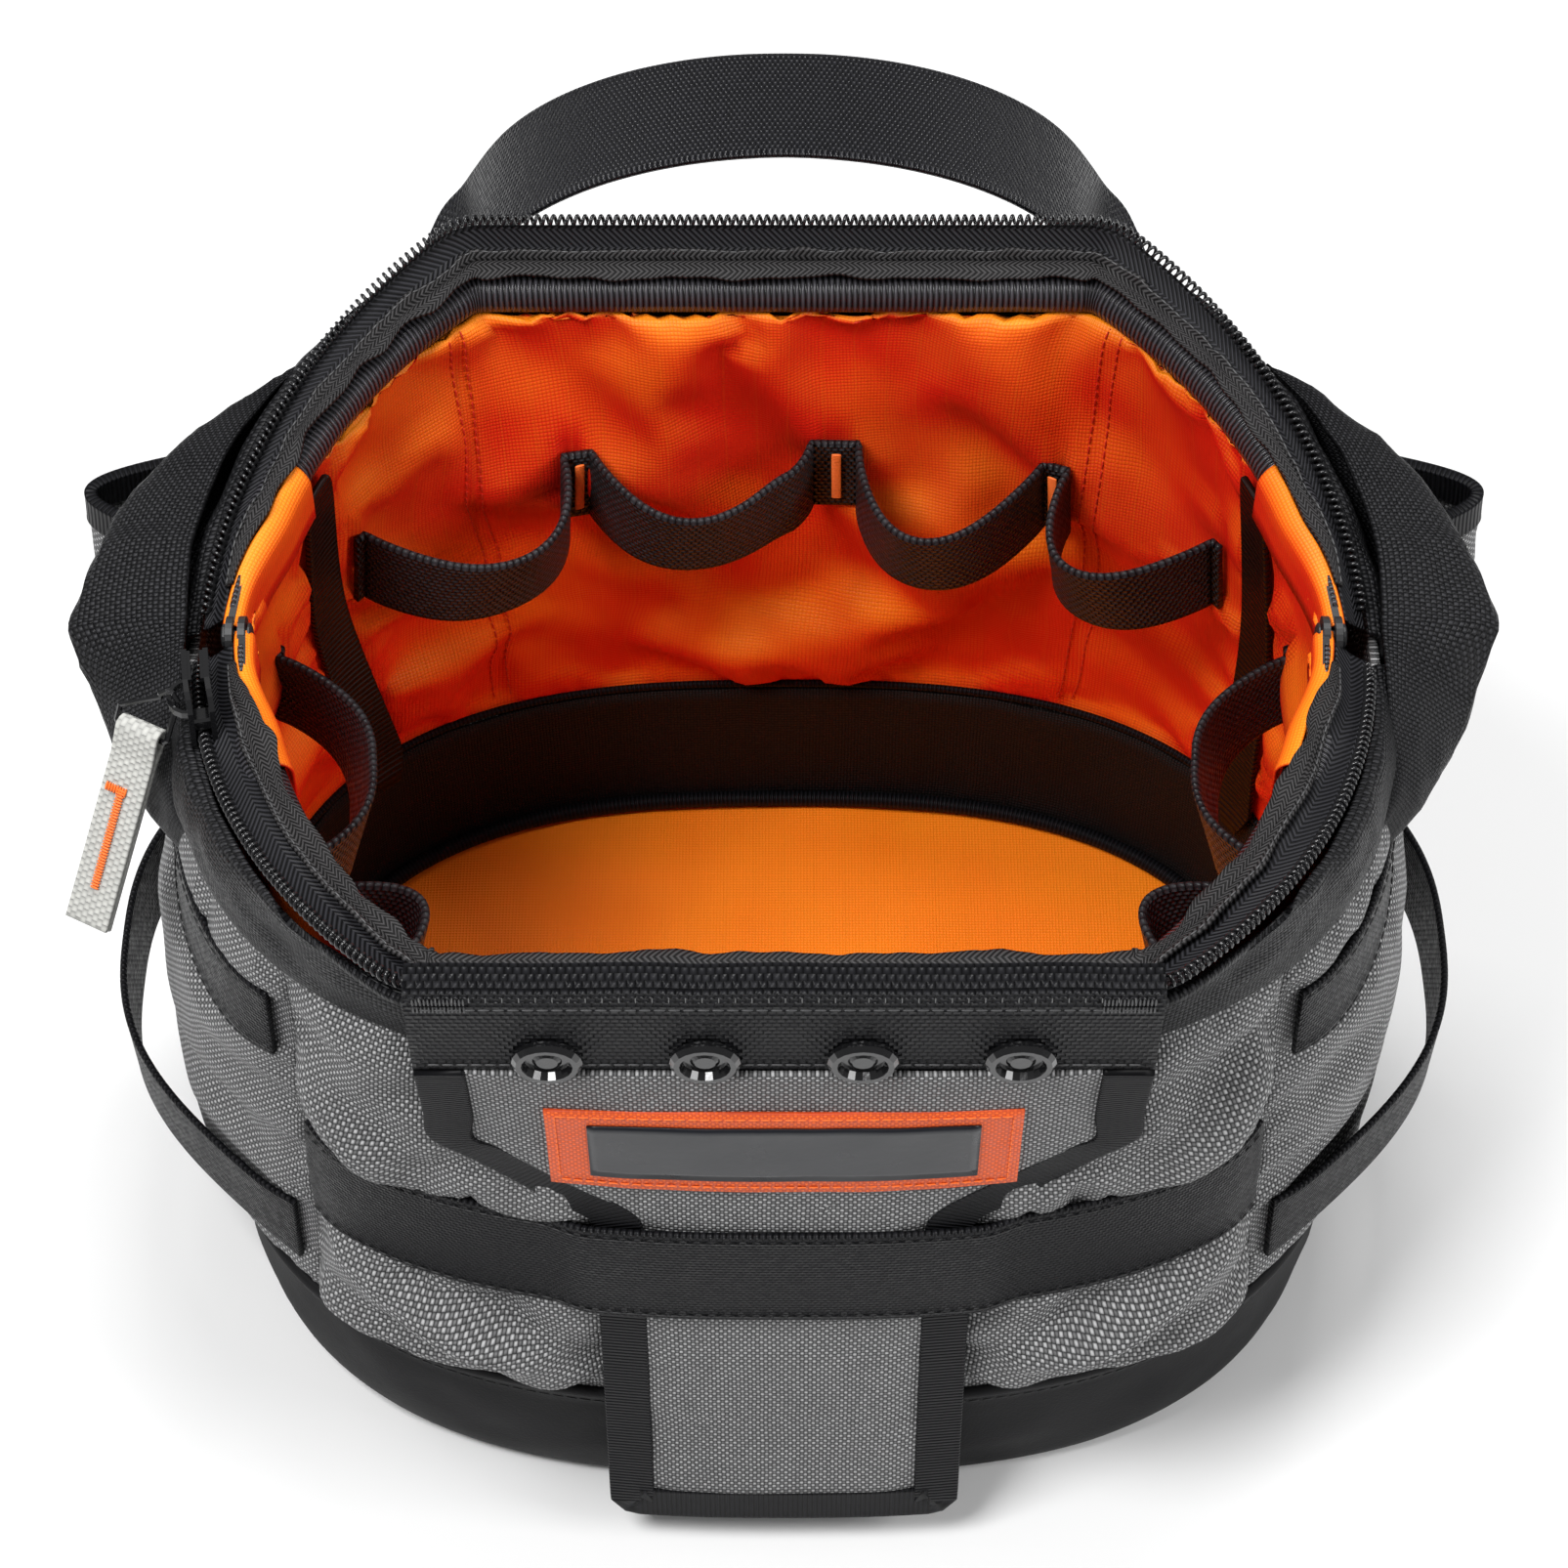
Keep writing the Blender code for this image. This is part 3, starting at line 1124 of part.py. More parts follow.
def bail_bar():
    """Middle of the bail's bar, and the slider's forward and outward directions there."""
    out = TOOTH_THICKNESS / 2 + SLIDER_CLEARANCE + SLIDER_PLATE / 2 + BAIL_RISE - BAIL_THICKNESS / 2
    centre = rim_point(FRONT, slider_run(0), 0, out)
    ahead = (rim_point(FRONT, slider_run(BAIL_THICKNESS), 0, out) - centre).normalized()
    outward = (rim_point(FRONT, slider_run(0), 0, out + BAIL_THICKNESS) - centre).normalized()
    return centre, ahead, outward


def build_puller():
    centre, ahead, outward = bail_bar()
    down = Vector((0, 0, -1))
    hang = (down - ahead * down.dot(ahead)).normalized()
    length = hang * math.cos(PULLER_HANG) + outward * math.sin(PULLER_HANG)
    crank = hang * math.cos(PULLER_CRANK) + outward * math.sin(PULLER_CRANK)
    tag_way = Vector(TAG_DIRECTION_SHARES).normalized()
    across = Vector((tag_way.y, -tag_way.x, 0)).normalized()
    square = (across * length.dot(across) - length).normalized()
    pivot = centre + length * PULLER_LENGTH
    cut = PULLER_CORNER
    neck = ((PULLER_NECK, 0), (PULLER_NECK, cut - PULLER_TOP), (PULLER_NECK - cut, -PULLER_TOP),
            (cut - PULLER_NECK, -PULLER_TOP), (-PULLER_NECK, cut - PULLER_TOP), (-PULLER_NECK, 0))
    side = PULLER_HALF_WIDTH
    bar = ((-side, PULLER_STRAIGHT), (-side, cut / 2), (cut / 2 - side, 0), (side - cut / 2, 0),
           (side, cut / 2), (side, PULLER_STRAIGHT))
    outline = [centre + across * p + crank * q for p, q in neck]
    outline += [pivot + across * p + square * q for p, q in bar]
    curve = bpy.data.curves.new("puller_path", "CURVE")
    curve.dimensions = "3D"
    curve.bevel_depth = PULLER_WIRE
    curve.bevel_resolution = 1
    spline = curve.splines.new("POLY")
    spline.points.add(len(outline) - 1)
    for slot, point in zip(spline.points, outline):
        slot.co = (*point, 1)
    spline.use_cyclic_u = True
    path = bpy.data.objects.new("puller_path", curve)
    CUTTERS.objects.link(path)
    mesh = evaluated_mesh(path)
    bpy.data.objects.remove(path, do_unlink=True)
    puller = add_object("zip_puller", mesh, BLACK, 0.25, 0.8, smooth=True)
    set_origin(puller, centre)

    face = across.cross(tag_way)
    half = TAG_THICKNESS / 2
    loop = TAG_LOOP_RADIUS
    outline = [(loop * math.sin(a), -loop * math.cos(a))
               for a in (math.radians(step) for step in (-90, -45, 0, 45, 90))]
    outline += [(half, TAG_NECK), (half, TAG_LENGTH), (-half, TAG_LENGTH), (-half, TAG_NECK)]
    sections = [[pivot + face * p + tag_way * q + across * shift for p, q in outline]
                for shift in (-TAG_WIDTH / 2, TAG_WIDTH / 2)]
    tag = add_object("pull_tag", loft("pull_tag", sections), PALE, 0.9)
    hole = rod("tag_hole", TAG_HOLE_RADIUS, TAG_WIDTH * 2, pivot, across)
    boolean(tag, hole, "DIFFERENCE")
    set_origin(tag, pivot)

    toward = face if face.y < 0 else -face
    sections = [[pivot + toward * (half + FABRIC_GAP + lift) + tag_way * q + across * p
                 for p, q in ((-STITCH_HALF_WIDTH, STITCH_TOP), (STITCH_HALF_WIDTH, STITCH_TOP),
                              (STITCH_HALF_WIDTH, STITCH_BOTTOM), (-STITCH_HALF_WIDTH, STITCH_BOTTOM))]
                for lift in (0, STITCH_THICKNESS)]
    stitch = add_object("tag_stitch", loft("tag_stitch", sections), ORANGE)
    set_origin(stitch, pivot)


build_base()
build_walls()
build_lining()
build_ears()
build_panel()
build_head()
build_belt()
build_side_straps()
build_handle()
build_inside()
build_mouth_half(FRONT, "front", FRONT_BOW_INSET)
build_mouth_half(BACK, "back", BACK_BOW_INSET)
build_pins()
build_slider()
build_puller()

HINGE = Vector((0, 0, HINGE_HEIGHT))
hang_on("front_mouth_hinge", HINGE, (
    "bow_front", "bow_channel_front", "zip_tape_front", "zip_teeth_front", "collar_front",
    "facing_band_front", "flap_head_webbing", "snap_far_left", "snap_near_left", "snap_near_right",
    "snap_far_right"))
hang_on("back_mouth_hinge", HINGE, (
    "bow_back", "bow_channel_back", "zip_tape_back", "zip_teeth_back", "collar_back",
    "facing_band_back"))
hang_on("zip_run_centre", rim_point(FRONT, slider_run(0), 0, -LEG_RADIUS), ("zip_slider",))
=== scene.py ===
"""Looks of the tool pouch: fabric, webbing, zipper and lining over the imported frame.

Metres, +Z up, -Y is the front. The body's outer surface, the mouth's path and the straps follow the
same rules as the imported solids, and every cloth piece is made again here with its folds and weave.
"""
import math

import bpy
import numpy as np
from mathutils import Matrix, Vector, noise


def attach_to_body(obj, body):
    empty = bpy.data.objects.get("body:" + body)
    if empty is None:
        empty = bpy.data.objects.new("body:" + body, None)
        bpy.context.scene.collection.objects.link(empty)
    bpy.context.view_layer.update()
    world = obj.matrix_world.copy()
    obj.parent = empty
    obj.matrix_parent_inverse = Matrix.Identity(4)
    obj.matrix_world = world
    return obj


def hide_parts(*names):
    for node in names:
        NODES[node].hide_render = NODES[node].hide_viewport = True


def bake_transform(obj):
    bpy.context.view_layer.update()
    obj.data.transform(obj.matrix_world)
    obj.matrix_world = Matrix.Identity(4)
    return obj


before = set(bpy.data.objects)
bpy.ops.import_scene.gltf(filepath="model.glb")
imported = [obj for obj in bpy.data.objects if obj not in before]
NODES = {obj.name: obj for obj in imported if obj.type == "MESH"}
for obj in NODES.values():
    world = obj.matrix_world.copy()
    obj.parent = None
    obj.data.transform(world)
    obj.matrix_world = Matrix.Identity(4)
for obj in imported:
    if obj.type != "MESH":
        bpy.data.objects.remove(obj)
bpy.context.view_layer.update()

# Body: half width and half depth at the base, its band, the belly and the rim
BASE_HALF = (0.134, 0.104)
BAND_HALF = (0.142, 0.1095)
BELLY_HALF = (0.1435, 0.111)
RIM_HALF = (0.137, 0.1085)
BASE_TURN = 0.022
BAND_TOP = 0.050
BELLY_Z = 0.120
WALL_TOP = 0.196
POWER = 2.65
SEAM = math.radians(42.2)
WALL = 0.003
LINING_TOP_HALF = (0.1225, 0.099)
LINING_LOW, LINING_HIGH = 0.0583, 0.2022
GAP = 0.0003
PINCH_LOW, PINCH_DEPTH, PINCH_WIDTH = 0.058, 0.0035, 0.013

# Mouth
HINGE = 0.208
MOUTH_HALF = (0.133, 0.110)
MOUTH_SLOPE = math.atan2(0.025, MOUTH_HALF[1])
CORNER_R = 0.016
CORNER_TURN = math.radians(43)
END_TURN = math.radians(88)
MOUTH_AWAY = MOUTH_HALF[1] / math.cos(MOUTH_SLOPE)
LEG_R = (MOUTH_AWAY - CORNER_R * (1 - math.cos(CORNER_TURN))) / (math.cos(CORNER_TURN) - math.cos(END_TURN))
STRAIGHT = (MOUTH_HALF[0] - CORNER_R * math.sin(CORNER_TURN)
            - LEG_R * (math.sin(END_TURN) - math.sin(CORNER_TURN)))
CORNER_L = CORNER_R * CORNER_TURN
MOUTH_L = STRAIGHT + CORNER_L + LEG_R * (END_TURN - CORNER_TURN)
BOW_RISE = 0.0065
CHAIN_DROP = 0.005
FRONT, BACK = -1, 1
BOW_INSET = {FRONT: 0.0100, BACK: 0.0072}

# Simulated cloth
SIM_SCALE, SIM_FRAMES = 10, 26
SLIDE_MOST = 0.003
SIM_RULES = {"quality": 7, "mass": 0.3, "air_damping": 3, "tension_stiffness": 25,
             "compression_stiffness": 25, "shear_stiffness": 8, "vertex_group_mass": "held"}

# Stitches: pitch, length and thread radius
STITCH = {
    "base": (0.0034, 0.0026, 0.00026), "lining": (0.0030, 0.0023, 0.00022),
    "side": (0.0032, 0.0024, 0.00024), "belt": (0.0034, 0.0025, 0.00024),
    "label": (0.0026, 0.002, 0.0002), "tick": (0.0024, 0.0016, 0.00013),
    "head": (0.0030, 0.0024, 0.00023), "tack": (0.0026, 0.0025, 0.0004),
    "facing": (0.0024, 0.0018, 0.00022), "collar": (0.0030, 0.0023, 0.00022),
    "tag": (0.0022, 0.0021, 0.00032),
}
# One stitch's outline: place along it and share of its radius
STITCH_OUTLINE = ((-1, 0.35), (-0.8, 0.8), (-0.3, 1), (0.3, 1), (0.8, 0.8), (1, 0.35))
STITCH_SIDES = 6

# Front band in section, as depth and height, and the lining's seams as angles low and high
HEAD_SECTION = ((0.1138, 0.204), (0.1150, 0.2255), (0.1153, 0.2325), (0.1145, 0.2350), (0.1115, 0.2360),
                (0.1092, 0.2350), (0.1080, 0.2325), (0.1076, 0.2295))
TACK_FLAT = 0.0038
SIDE_WEB = 0.0018
STAY_ANGLES = {-1: (43, 21), 1: (31, 21)}
LINING_SLANT = ((0.77, 0.0, -0.64), (0.0, 1.0, 0.0), (0.64, 0.0, 0.77))
LINING_SEAMS = [(math.radians(low), math.radians(high)) for low, high in
                ((117, 123), (63, 57), (180 + 57, 180 + 52), (-57, -52))]


# Shapes shared with the frame

def lerp(a, b, t):
    return a + (b - a) * t


def smooth(t):
    t = np.clip(t, 0, 1)
    return t * t * (3 - 2 * t)


def bump(x, width):
    return np.exp(-(x / width) ** 2)


def between(z, low, high):
    return (z > low) & (z < high)


def around(count):
    """Angles evenly spaced round a full turn."""
    return np.linspace(0, 2 * math.pi, count, endpoint=False)


def run_length(points):
    """Distance along a line of points (n, 3), from 0 at its start."""
    return np.concatenate([[0], np.cumsum(np.linalg.norm(np.diff(points, axis=0), axis=1))])


def unit(way):
    return way / np.linalg.norm(way)


def half_sizes(z):
    z = np.asarray(z, float)
    rows = (BAND_TOP, BELLY_Z, WALL_TOP)
    w = np.interp(z, rows, (BAND_HALF[0], BELLY_HALF[0], RIM_HALF[0]))
    d = np.interp(z, rows, (BAND_HALF[1], BELLY_HALF[1], RIM_HALF[1]))
    low = 1 - np.sqrt(np.clip(1 - (1 - np.clip(z / BASE_TURN, 0, 1)) ** 2, 0, 1))
    return lerp(w, BASE_HALF[0], low), lerp(d, BASE_HALF[1], low)


def ring(angle, hw, hd):
    """Rounded outline of half width hw and half depth hd."""
    c, s = np.cos(angle), np.sin(angle)
    return np.sign(c) * np.abs(c) ** (2 / POWER) * hw, np.sign(s) * np.abs(s) ** (2 / POWER) * hd


def fold_angle(angle):
    """The angle mirrored into the first quarter turn."""
    a = np.abs(np.arctan2(np.sin(angle), np.cos(angle)))
    return np.minimum(a, math.pi - a)


def seam_pinch(angle, z):
    """How far the corner seams draw the walls in."""
    rise = np.sin(math.pi * np.clip((z - PINCH_LOW) / (WALL_TOP - PINCH_LOW), 0, 1))
    return PINCH_DEPTH * rise * bump((fold_angle(angle) - SEAM) * BELLY_HALF[0], PINCH_WIDTH)


def spread(*values):
    return np.broadcast_arrays(*[np.asarray(value, float) for value in values])


def body(angle, z, offset=0.0):
    """Points of the outer surface at angles and heights, moved out by offset."""
    angle, z, offset = spread(angle, z, offset)
    hw, hd = half_sizes(z)
    moved = offset - seam_pinch(angle, z)
    x, y = ring(angle, hw + moved, hd + moved)
    return np.stack([x, y, z], -1)


def body_depth(x, z, offset=0.0):
    """Depth of the outer surface at x, measured from the middle."""
    hw, hd = half_sizes(z)
    return hd * (1 - np.minimum(np.abs(x) / hw, 1) ** POWER) ** (1 / POWER) + offset


def body_side(y, z, offset=0.0):
    """Half width of the outer surface at y."""
    hw, hd = half_sizes(z)
    return hw * (1 - np.minimum(np.abs(y) / hd, 1) ** POWER) ** (1 / POWER) + offset


def lining(angle, z, offset=0.0):
    """Points of the flat lining at angles and heights, moved out by offset."""
    angle, z, offset = spread(angle, z, offset)
    hw, hd = half_sizes(LINING_LOW)
    t = (z - LINING_LOW) / (LINING_HIGH - LINING_LOW)
    x, y = ring(angle, lerp(hw - WALL - GAP, LINING_TOP_HALF[0], t) + offset,
                lerp(hd - WALL - GAP, LINING_TOP_HALF[1], t) + offset)
    return np.stack([x, y, z], -1)


def body_out(angle):
    """Unit vector square to the body's outline."""
    a = np.asarray(angle, float)
    x = np.sign(np.cos(a)) * np.abs(np.cos(a)) ** (2 - 2 / POWER)
    y = np.sign(np.sin(a)) * np.abs(np.sin(a)) ** (2 - 2 / POWER)
    n = np.stack([x / BELLY_HALF[0], y / BELLY_HALF[1], np.zeros_like(a)], -1)
    return n / np.linalg.norm(n, axis=-1, keepdims=True)


def even_angles(start, end, step=0.003):
    """Angles that cut the belly's outline into equal steps."""
    fine = np.linspace(start, end, 1500)
    run = run_length(body(fine, BELLY_Z))
    count = max(int(run[-1] / step), 2)
    return np.interp(np.linspace(0, run[-1], count + 1), run, fine)


def lining_top(angle):
    """Height of the lining's edge, which lies under the channel."""
    return LINING_HIGH + BOW_RISE * np.abs(lining(angle, LINING_HIGH)[..., 1]) / MOUTH_HALF[1]


def mouth_plan(run):
    """Places along and away in a half of the mouth's plane, and the way out from its outline."""
    run = np.asarray(run, float)
    side, run = np.where(run < 0, -1.0, 1.0), np.abs(run)
    straight = np.minimum(run, STRAIGHT)
    corner = np.clip(run - STRAIGHT, 0, CORNER_L) / CORNER_R
    turn = corner + np.maximum(run - STRAIGHT - CORNER_L, 0) / LEG_R
    along = straight + CORNER_R * np.sin(corner) + LEG_R * (np.sin(turn) - np.sin(corner))
    away = MOUTH_AWAY - CORNER_R * (1 - np.cos(corner)) - LEG_R * (np.cos(corner) - np.cos(turn))
    return side * along, away, side * np.sin(turn), np.cos(turn)


def rim(half, run, lift, out, drop=0.0):
    """Points by the chain, moved square to the mouth's plane, outwards in it, and down."""
    along, away, na, nw = mouth_plan(run)
    along, away = along + na * out, away + nw * out
    s, c = math.sin(MOUTH_SLOPE), math.cos(MOUTH_SLOPE)
    return np.stack(np.broadcast_arrays(along, half * (away * c - lift * s),
                                        HINGE + away * s + lift * c - drop), -1)


def hung(half, run, drop, out):
    """Fabric that hangs straight down from the chain."""
    return rim(half, run, -CHAIN_DROP, out, drop)


def bow(half, run, inset, lift):
    """Points along the mouth's outline moved in by inset, at the height of the bow plus lift."""
    along, away, na, nw = mouth_plan(run)
    depth = away * math.cos(MOUTH_SLOPE) - nw * inset
    return np.stack(np.broadcast_arrays(along - na * inset, half * depth,
                                        HINGE + BOW_RISE * depth / MOUTH_HALF[1] + lift), -1)


def noises(points, size, seed=0.0, octaves=2):
    """Smooth noise at each point, with features of about the given size (a number or one for each axis)."""
    size = np.broadcast_to(np.asarray(size, float), (3,))
    flat = points.reshape(-1, 3) / size + seed
    out = np.array([noise.fractal(Vector(p), 0.7, 2.0, octaves) for p in flat])
    return out.reshape(points.shape[:-1])


# Meshes

def catmull(points, count):
    """Points of a smooth curve through points (n, ...), evenly spaced along it."""
    p = np.asarray(points, float)
    n = len(p)
    pad = np.concatenate([[2 * p[0] - p[1]], p, [2 * p[-1] - p[-2]]])
    fine = []
    for i in range(n - 1):
        a, b, c, d = pad[i], pad[i + 1], pad[i + 2], pad[i + 3]
        for t in np.linspace(0, 1, 12, endpoint=False):
            fine.append(0.5 * (2 * b + (c - a) * t + (2 * a - 5 * b + 4 * c - d) * t ** 2
                               + (3 * b - a - 3 * c + d) * t ** 3))
    fine.append(p[-1])
    return even(np.array(fine), count)


def even(rows, count):
    """Rows (n, ...) resampled evenly along their mean line."""
    rows = np.asarray(rows, float)
    middle = rows.reshape(len(rows), -1, 3).mean(1)
    run = run_length(middle)
    at = np.linspace(0, run[-1], count)
    flat = rows.reshape(len(rows), -1)
    made = np.stack([np.interp(at, run, flat[:, k]) for k in range(flat.shape[1])], -1)
    return made.reshape((count,) + rows.shape[1:])


def lengths(rows):
    """Distance along the middle column and across the middle row of a grid (n, m, 3)."""
    return run_length(rows[:, rows.shape[1] // 2]), run_length(rows[rows.shape[0] // 2])


def normals(rows):
    """Unit normals of a grid of points."""
    n = np.cross(np.gradient(rows, axis=0), np.gradient(rows, axis=1))
    return n / np.maximum(np.linalg.norm(n, axis=-1, keepdims=True), 1e-12)


def link(obj):
    bpy.context.scene.collection.objects.link(obj)
    return obj


def mesh_object(name, verts, faces, uvs, mat):
    mesh = bpy.data.meshes.new(name)
    mesh.from_pydata([tuple(v) for v in np.asarray(verts).reshape(-1, 3)], [], faces)
    if uvs is not None:
        layer = mesh.uv_layers.new(name="Cloth")
        layer.data.foreach_set("uv", np.asarray(uvs, np.float32).ravel())
    mesh.materials.append(mat)
    mesh.shade_smooth()
    return link(bpy.data.objects.new(name, mesh))


def grid(name, rows, mat, body_name, thickness=0.0, side=-1, replace=(), closed=False):
    """Cloth over a grid of points (n, m, 3), with its coordinates in metres along and across."""
    n, m = rows.shape[:2]
    u, v = lengths(rows)
    if closed:
        u = np.append(u, u[-1] + np.linalg.norm(rows[-1, m // 2] - rows[0, m // 2]))
    faces, uvs = [], []
    for i in range(n if closed else n - 1):
        k = (i + 1) % n
        for j in range(m - 1):
            faces.append((i * m + j, k * m + j, k * m + j + 1, i * m + j + 1))
            uvs += [(u[i], v[j]), (u[i + 1], v[j]), (u[i + 1], v[j + 1]), (u[i], v[j + 1])]
    obj = mesh_object(name, rows, faces, uvs, mat)
    if thickness:
        solid = obj.modifiers.new("thickness", "SOLIDIFY")
        solid.thickness = thickness
        solid.offset = side
        apply(obj)
    return attach(obj, body_name, replace)


def attach(obj, body_name, replace=()):
    if body_name:
        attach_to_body(obj, body_name)
    if replace:
        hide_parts(*replace)
    return obj


def apply(obj):
    graph = bpy.context.evaluated_depsgraph_get()
    mesh = bpy.data.meshes.new_from_object(obj.evaluated_get(graph), depsgraph=graph)
    obj.modifiers.clear()
    obj.data = mesh


def planar_uv(obj, first, second):
    layer = obj.data.uv_layers["Cloth"].data
    for loop in obj.data.loops:
        p = obj.data.vertices[loop.vertex_index].co
        layer[loop.index].uv = (p[first], p[second])


def round_rings(path, radius, sides=12, closed=False):
    """Loops of a round tube along a path (n, 3)."""
    path = np.asarray(path, float)
    n = len(path)
    tangent = np.gradient(path, axis=0)
    if closed:
        tangent = np.roll(path, -1, 0) - np.roll(path, 1, 0)
    tangent /= np.linalg.norm(tangent, axis=1, keepdims=True)
    up = np.zeros_like(path)
    first = np.array([0, 0, 1.0]) if abs(tangent[0][2]) < 0.9 else np.array([1.0, 0, 0])
    for i in range(n):
        first = first - tangent[i] * first.dot(tangent[i])
        first /= np.linalg.norm(first)
        up[i] = first
    side = np.cross(tangent, up)
    a = around(sides)
    r = np.broadcast_to(np.asarray(radius, float).reshape(-1, 1), (n, 1))[..., None]
    return path[:, None] + r * (np.cos(a)[None, :, None] * up[:, None]
                                + np.sin(a)[None, :, None] * side[:, None])


def rings(name, loops, mat, body_name, replace=(), closed=False):
    """Closed skin through loops of points, each list (n, sides, 3), several lists in one piece."""
    verts, faces, uvs, start = [], [], [], 0
    for loop in loops:
        n, sides = loop.shape[:2]
        middle = loop.mean(1)
        u = run_length(middle)
        u = np.append(u, u[-1] + np.linalg.norm(middle[-1] - middle[0]))
        v = run_length(np.vstack([loop[n // 2], loop[n // 2][:1]]))
        for i in range(n if closed else n - 1):
            k = (i + 1) % n
            for j in range(sides):
                q = (j + 1) % sides
                faces.append((start + i * sides + j, start + i * sides + q, start + k * sides + q,
                              start + k * sides + j))
                uvs += [(u[i], v[j]), (u[i], v[j + 1]), (u[i + 1], v[j + 1]), (u[i + 1], v[j])]
        if not closed:
            for i, order in ((0, range(sides - 1, -1, -1)), (n - 1, range(sides))):
                faces.append(tuple(start + i * sides + j for j in order))
                uvs += [(u[i], v[j]) for j in order]
        verts.append(loop.reshape(-1, 3))
        start += n * sides
    obj = mesh_object(name, np.concatenate(verts), faces, uvs, mat)
    return attach(obj, body_name, replace)


# A strap's section: places across it and the share of its thickness there
STRAP_ACROSS = np.array([-1, -0.985, -0.94, -0.8, -0.4, 0, 0.4, 0.8, 0.94, 0.985, 1])
STRAP_HALF = np.array([0.25, 0.75, 1, 0.96, 0.93, 0.93, 0.93, 0.96, 1, 0.75, 0.25])


def strap(name, rows, thickness, mat, body_name, replace=()):
    """Woven band over centre rows (n, k, 3): two faces and round, slightly thicker edges."""
    k = rows.shape[1]
    at = (STRAP_ACROSS + 1) / 2 * (k - 1)
    low = np.clip(at.astype(int), 0, k - 2)
    share = (at - low)[None, :, None]
    centre = rows[:, low] * (1 - share) + rows[:, low + 1] * share
    n = normals(centre)
    half = STRAP_HALF[None, :, None] * thickness / 2
    top, under = centre + n * half, centre - n * half
    loop = np.concatenate([top, under[:, ::-1]], 1)
    count, m = loop.shape[:2]
    u, v = lengths(centre)
    across = np.concatenate([v, v[::-1]])
    faces, uvs = [], []
    for i in range(count - 1):
        for j in range(m):
            q = (j + 1) % m
            faces.append((i * m + j, i * m + q, (i + 1) * m + q, (i + 1) * m + j))
            uvs += [(u[i], across[j]), (u[i], across[q]), (u[i + 1], across[q]), (u[i + 1], across[j])]
    for i, order in ((0, range(m - 1, -1, -1)), (count - 1, range(m))):
        faces.append(tuple(i * m + j for j in order))
        uvs += [(u[i], across[j]) for j in order]
    obj = mesh_object(name, loop, faces, uvs, mat)
    return attach(obj, body_name, replace)


def tube(name, path, radius, mat, body_name, sides=12, replace=(), closed=False):
    return rings(name, [round_rings(path, radius, sides, closed)], mat, body_name, replace, closed)


def crumple(rows, held, grow, bend, low, high, pressure=0.0, closed=False):
    """Cloth over rows (n, m, 3), cut larger by a share and held where held is 1, as a simulation
    folds it. It may move in by low and out by high at most."""
    out = normals(rows)
    if closed:
        out = normals(np.concatenate([rows[-2:], rows, rows[:2]]))[2:-2]
    n, m = rows.shape[:2]
    faces = []
    for i in range(n if closed else n - 1):
        k = (i + 1) % n
        faces += [(i * m + j, k * m + j, k * m + j + 1, i * m + j + 1) for j in range(m - 1)]
    mesh = bpy.data.meshes.new("crumple")
    mesh.from_pydata((rows.reshape(-1, 3) * SIM_SCALE).tolist(), [], faces)
    blank = link(bpy.data.objects.new("crumple", mesh))
    group = blank.vertex_groups.new(name="held")
    for i, weight in enumerate(held.ravel()):
        if weight > 0:
            group.add([i], float(weight), "REPLACE")
    cloth = blank.modifiers.new("cloth", "CLOTH")
    rules = cloth.settings
    for key, value in SIM_RULES.items():
        setattr(rules, key, value)
    rules.bending_stiffness = bend
    rules.shrink_min = -grow
    rules.use_pressure = pressure > 0
    rules.uniform_pressure_force = pressure
    rules.effector_weights.gravity = 0
    cloth.collision_settings.use_collision = False
    scene = bpy.context.scene
    for frame_number in range(1, SIM_FRAMES + 1):
        scene.frame_set(frame_number)
    graph = bpy.context.evaluated_depsgraph_get()
    made = blank.evaluated_get(graph).data
    moved = np.zeros(len(mesh.vertices) * 3)
    made.vertices.foreach_get("co", moved)
    scene.frame_set(1)
    bpy.data.objects.remove(blank, do_unlink=True)
    shift = moved.reshape(rows.shape) / SIM_SCALE - rows
    normal = (shift * out).sum(-1)
    flat = shift - normal[..., None] * out
    size = np.linalg.norm(flat, axis=-1, keepdims=True)
    flat *= np.minimum(1, SLIDE_MOST / np.maximum(size, SLIDE_MOST))
    reach = np.where(normal > 0, high, low)
    normal = np.tanh(normal / np.maximum(reach, 1e-9)) * reach
    return rows + flat + out * normal[..., None]


def stitch_form():
    """Points and faces of one stitch of length and radius 1, along x."""
    around_it = [(math.cos(a), math.sin(a)) for a in around(STITCH_SIDES)]
    points = [(at * 0.5, c * size, s * size) for at, size in STITCH_OUTLINE for c, s in around_it]
    count, sides = len(STITCH_OUTLINE), STITCH_SIDES
    faces = [(r * sides + k, r * sides + (k + 1) % sides, (r + 1) * sides + (k + 1) % sides,
              (r + 1) * sides + k) for r in range(count - 1) for k in range(sides)]
    faces += [tuple(range(sides - 1, -1, -1)), tuple(range((count - 1) * sides, count * sides))]
    return np.array(points), faces


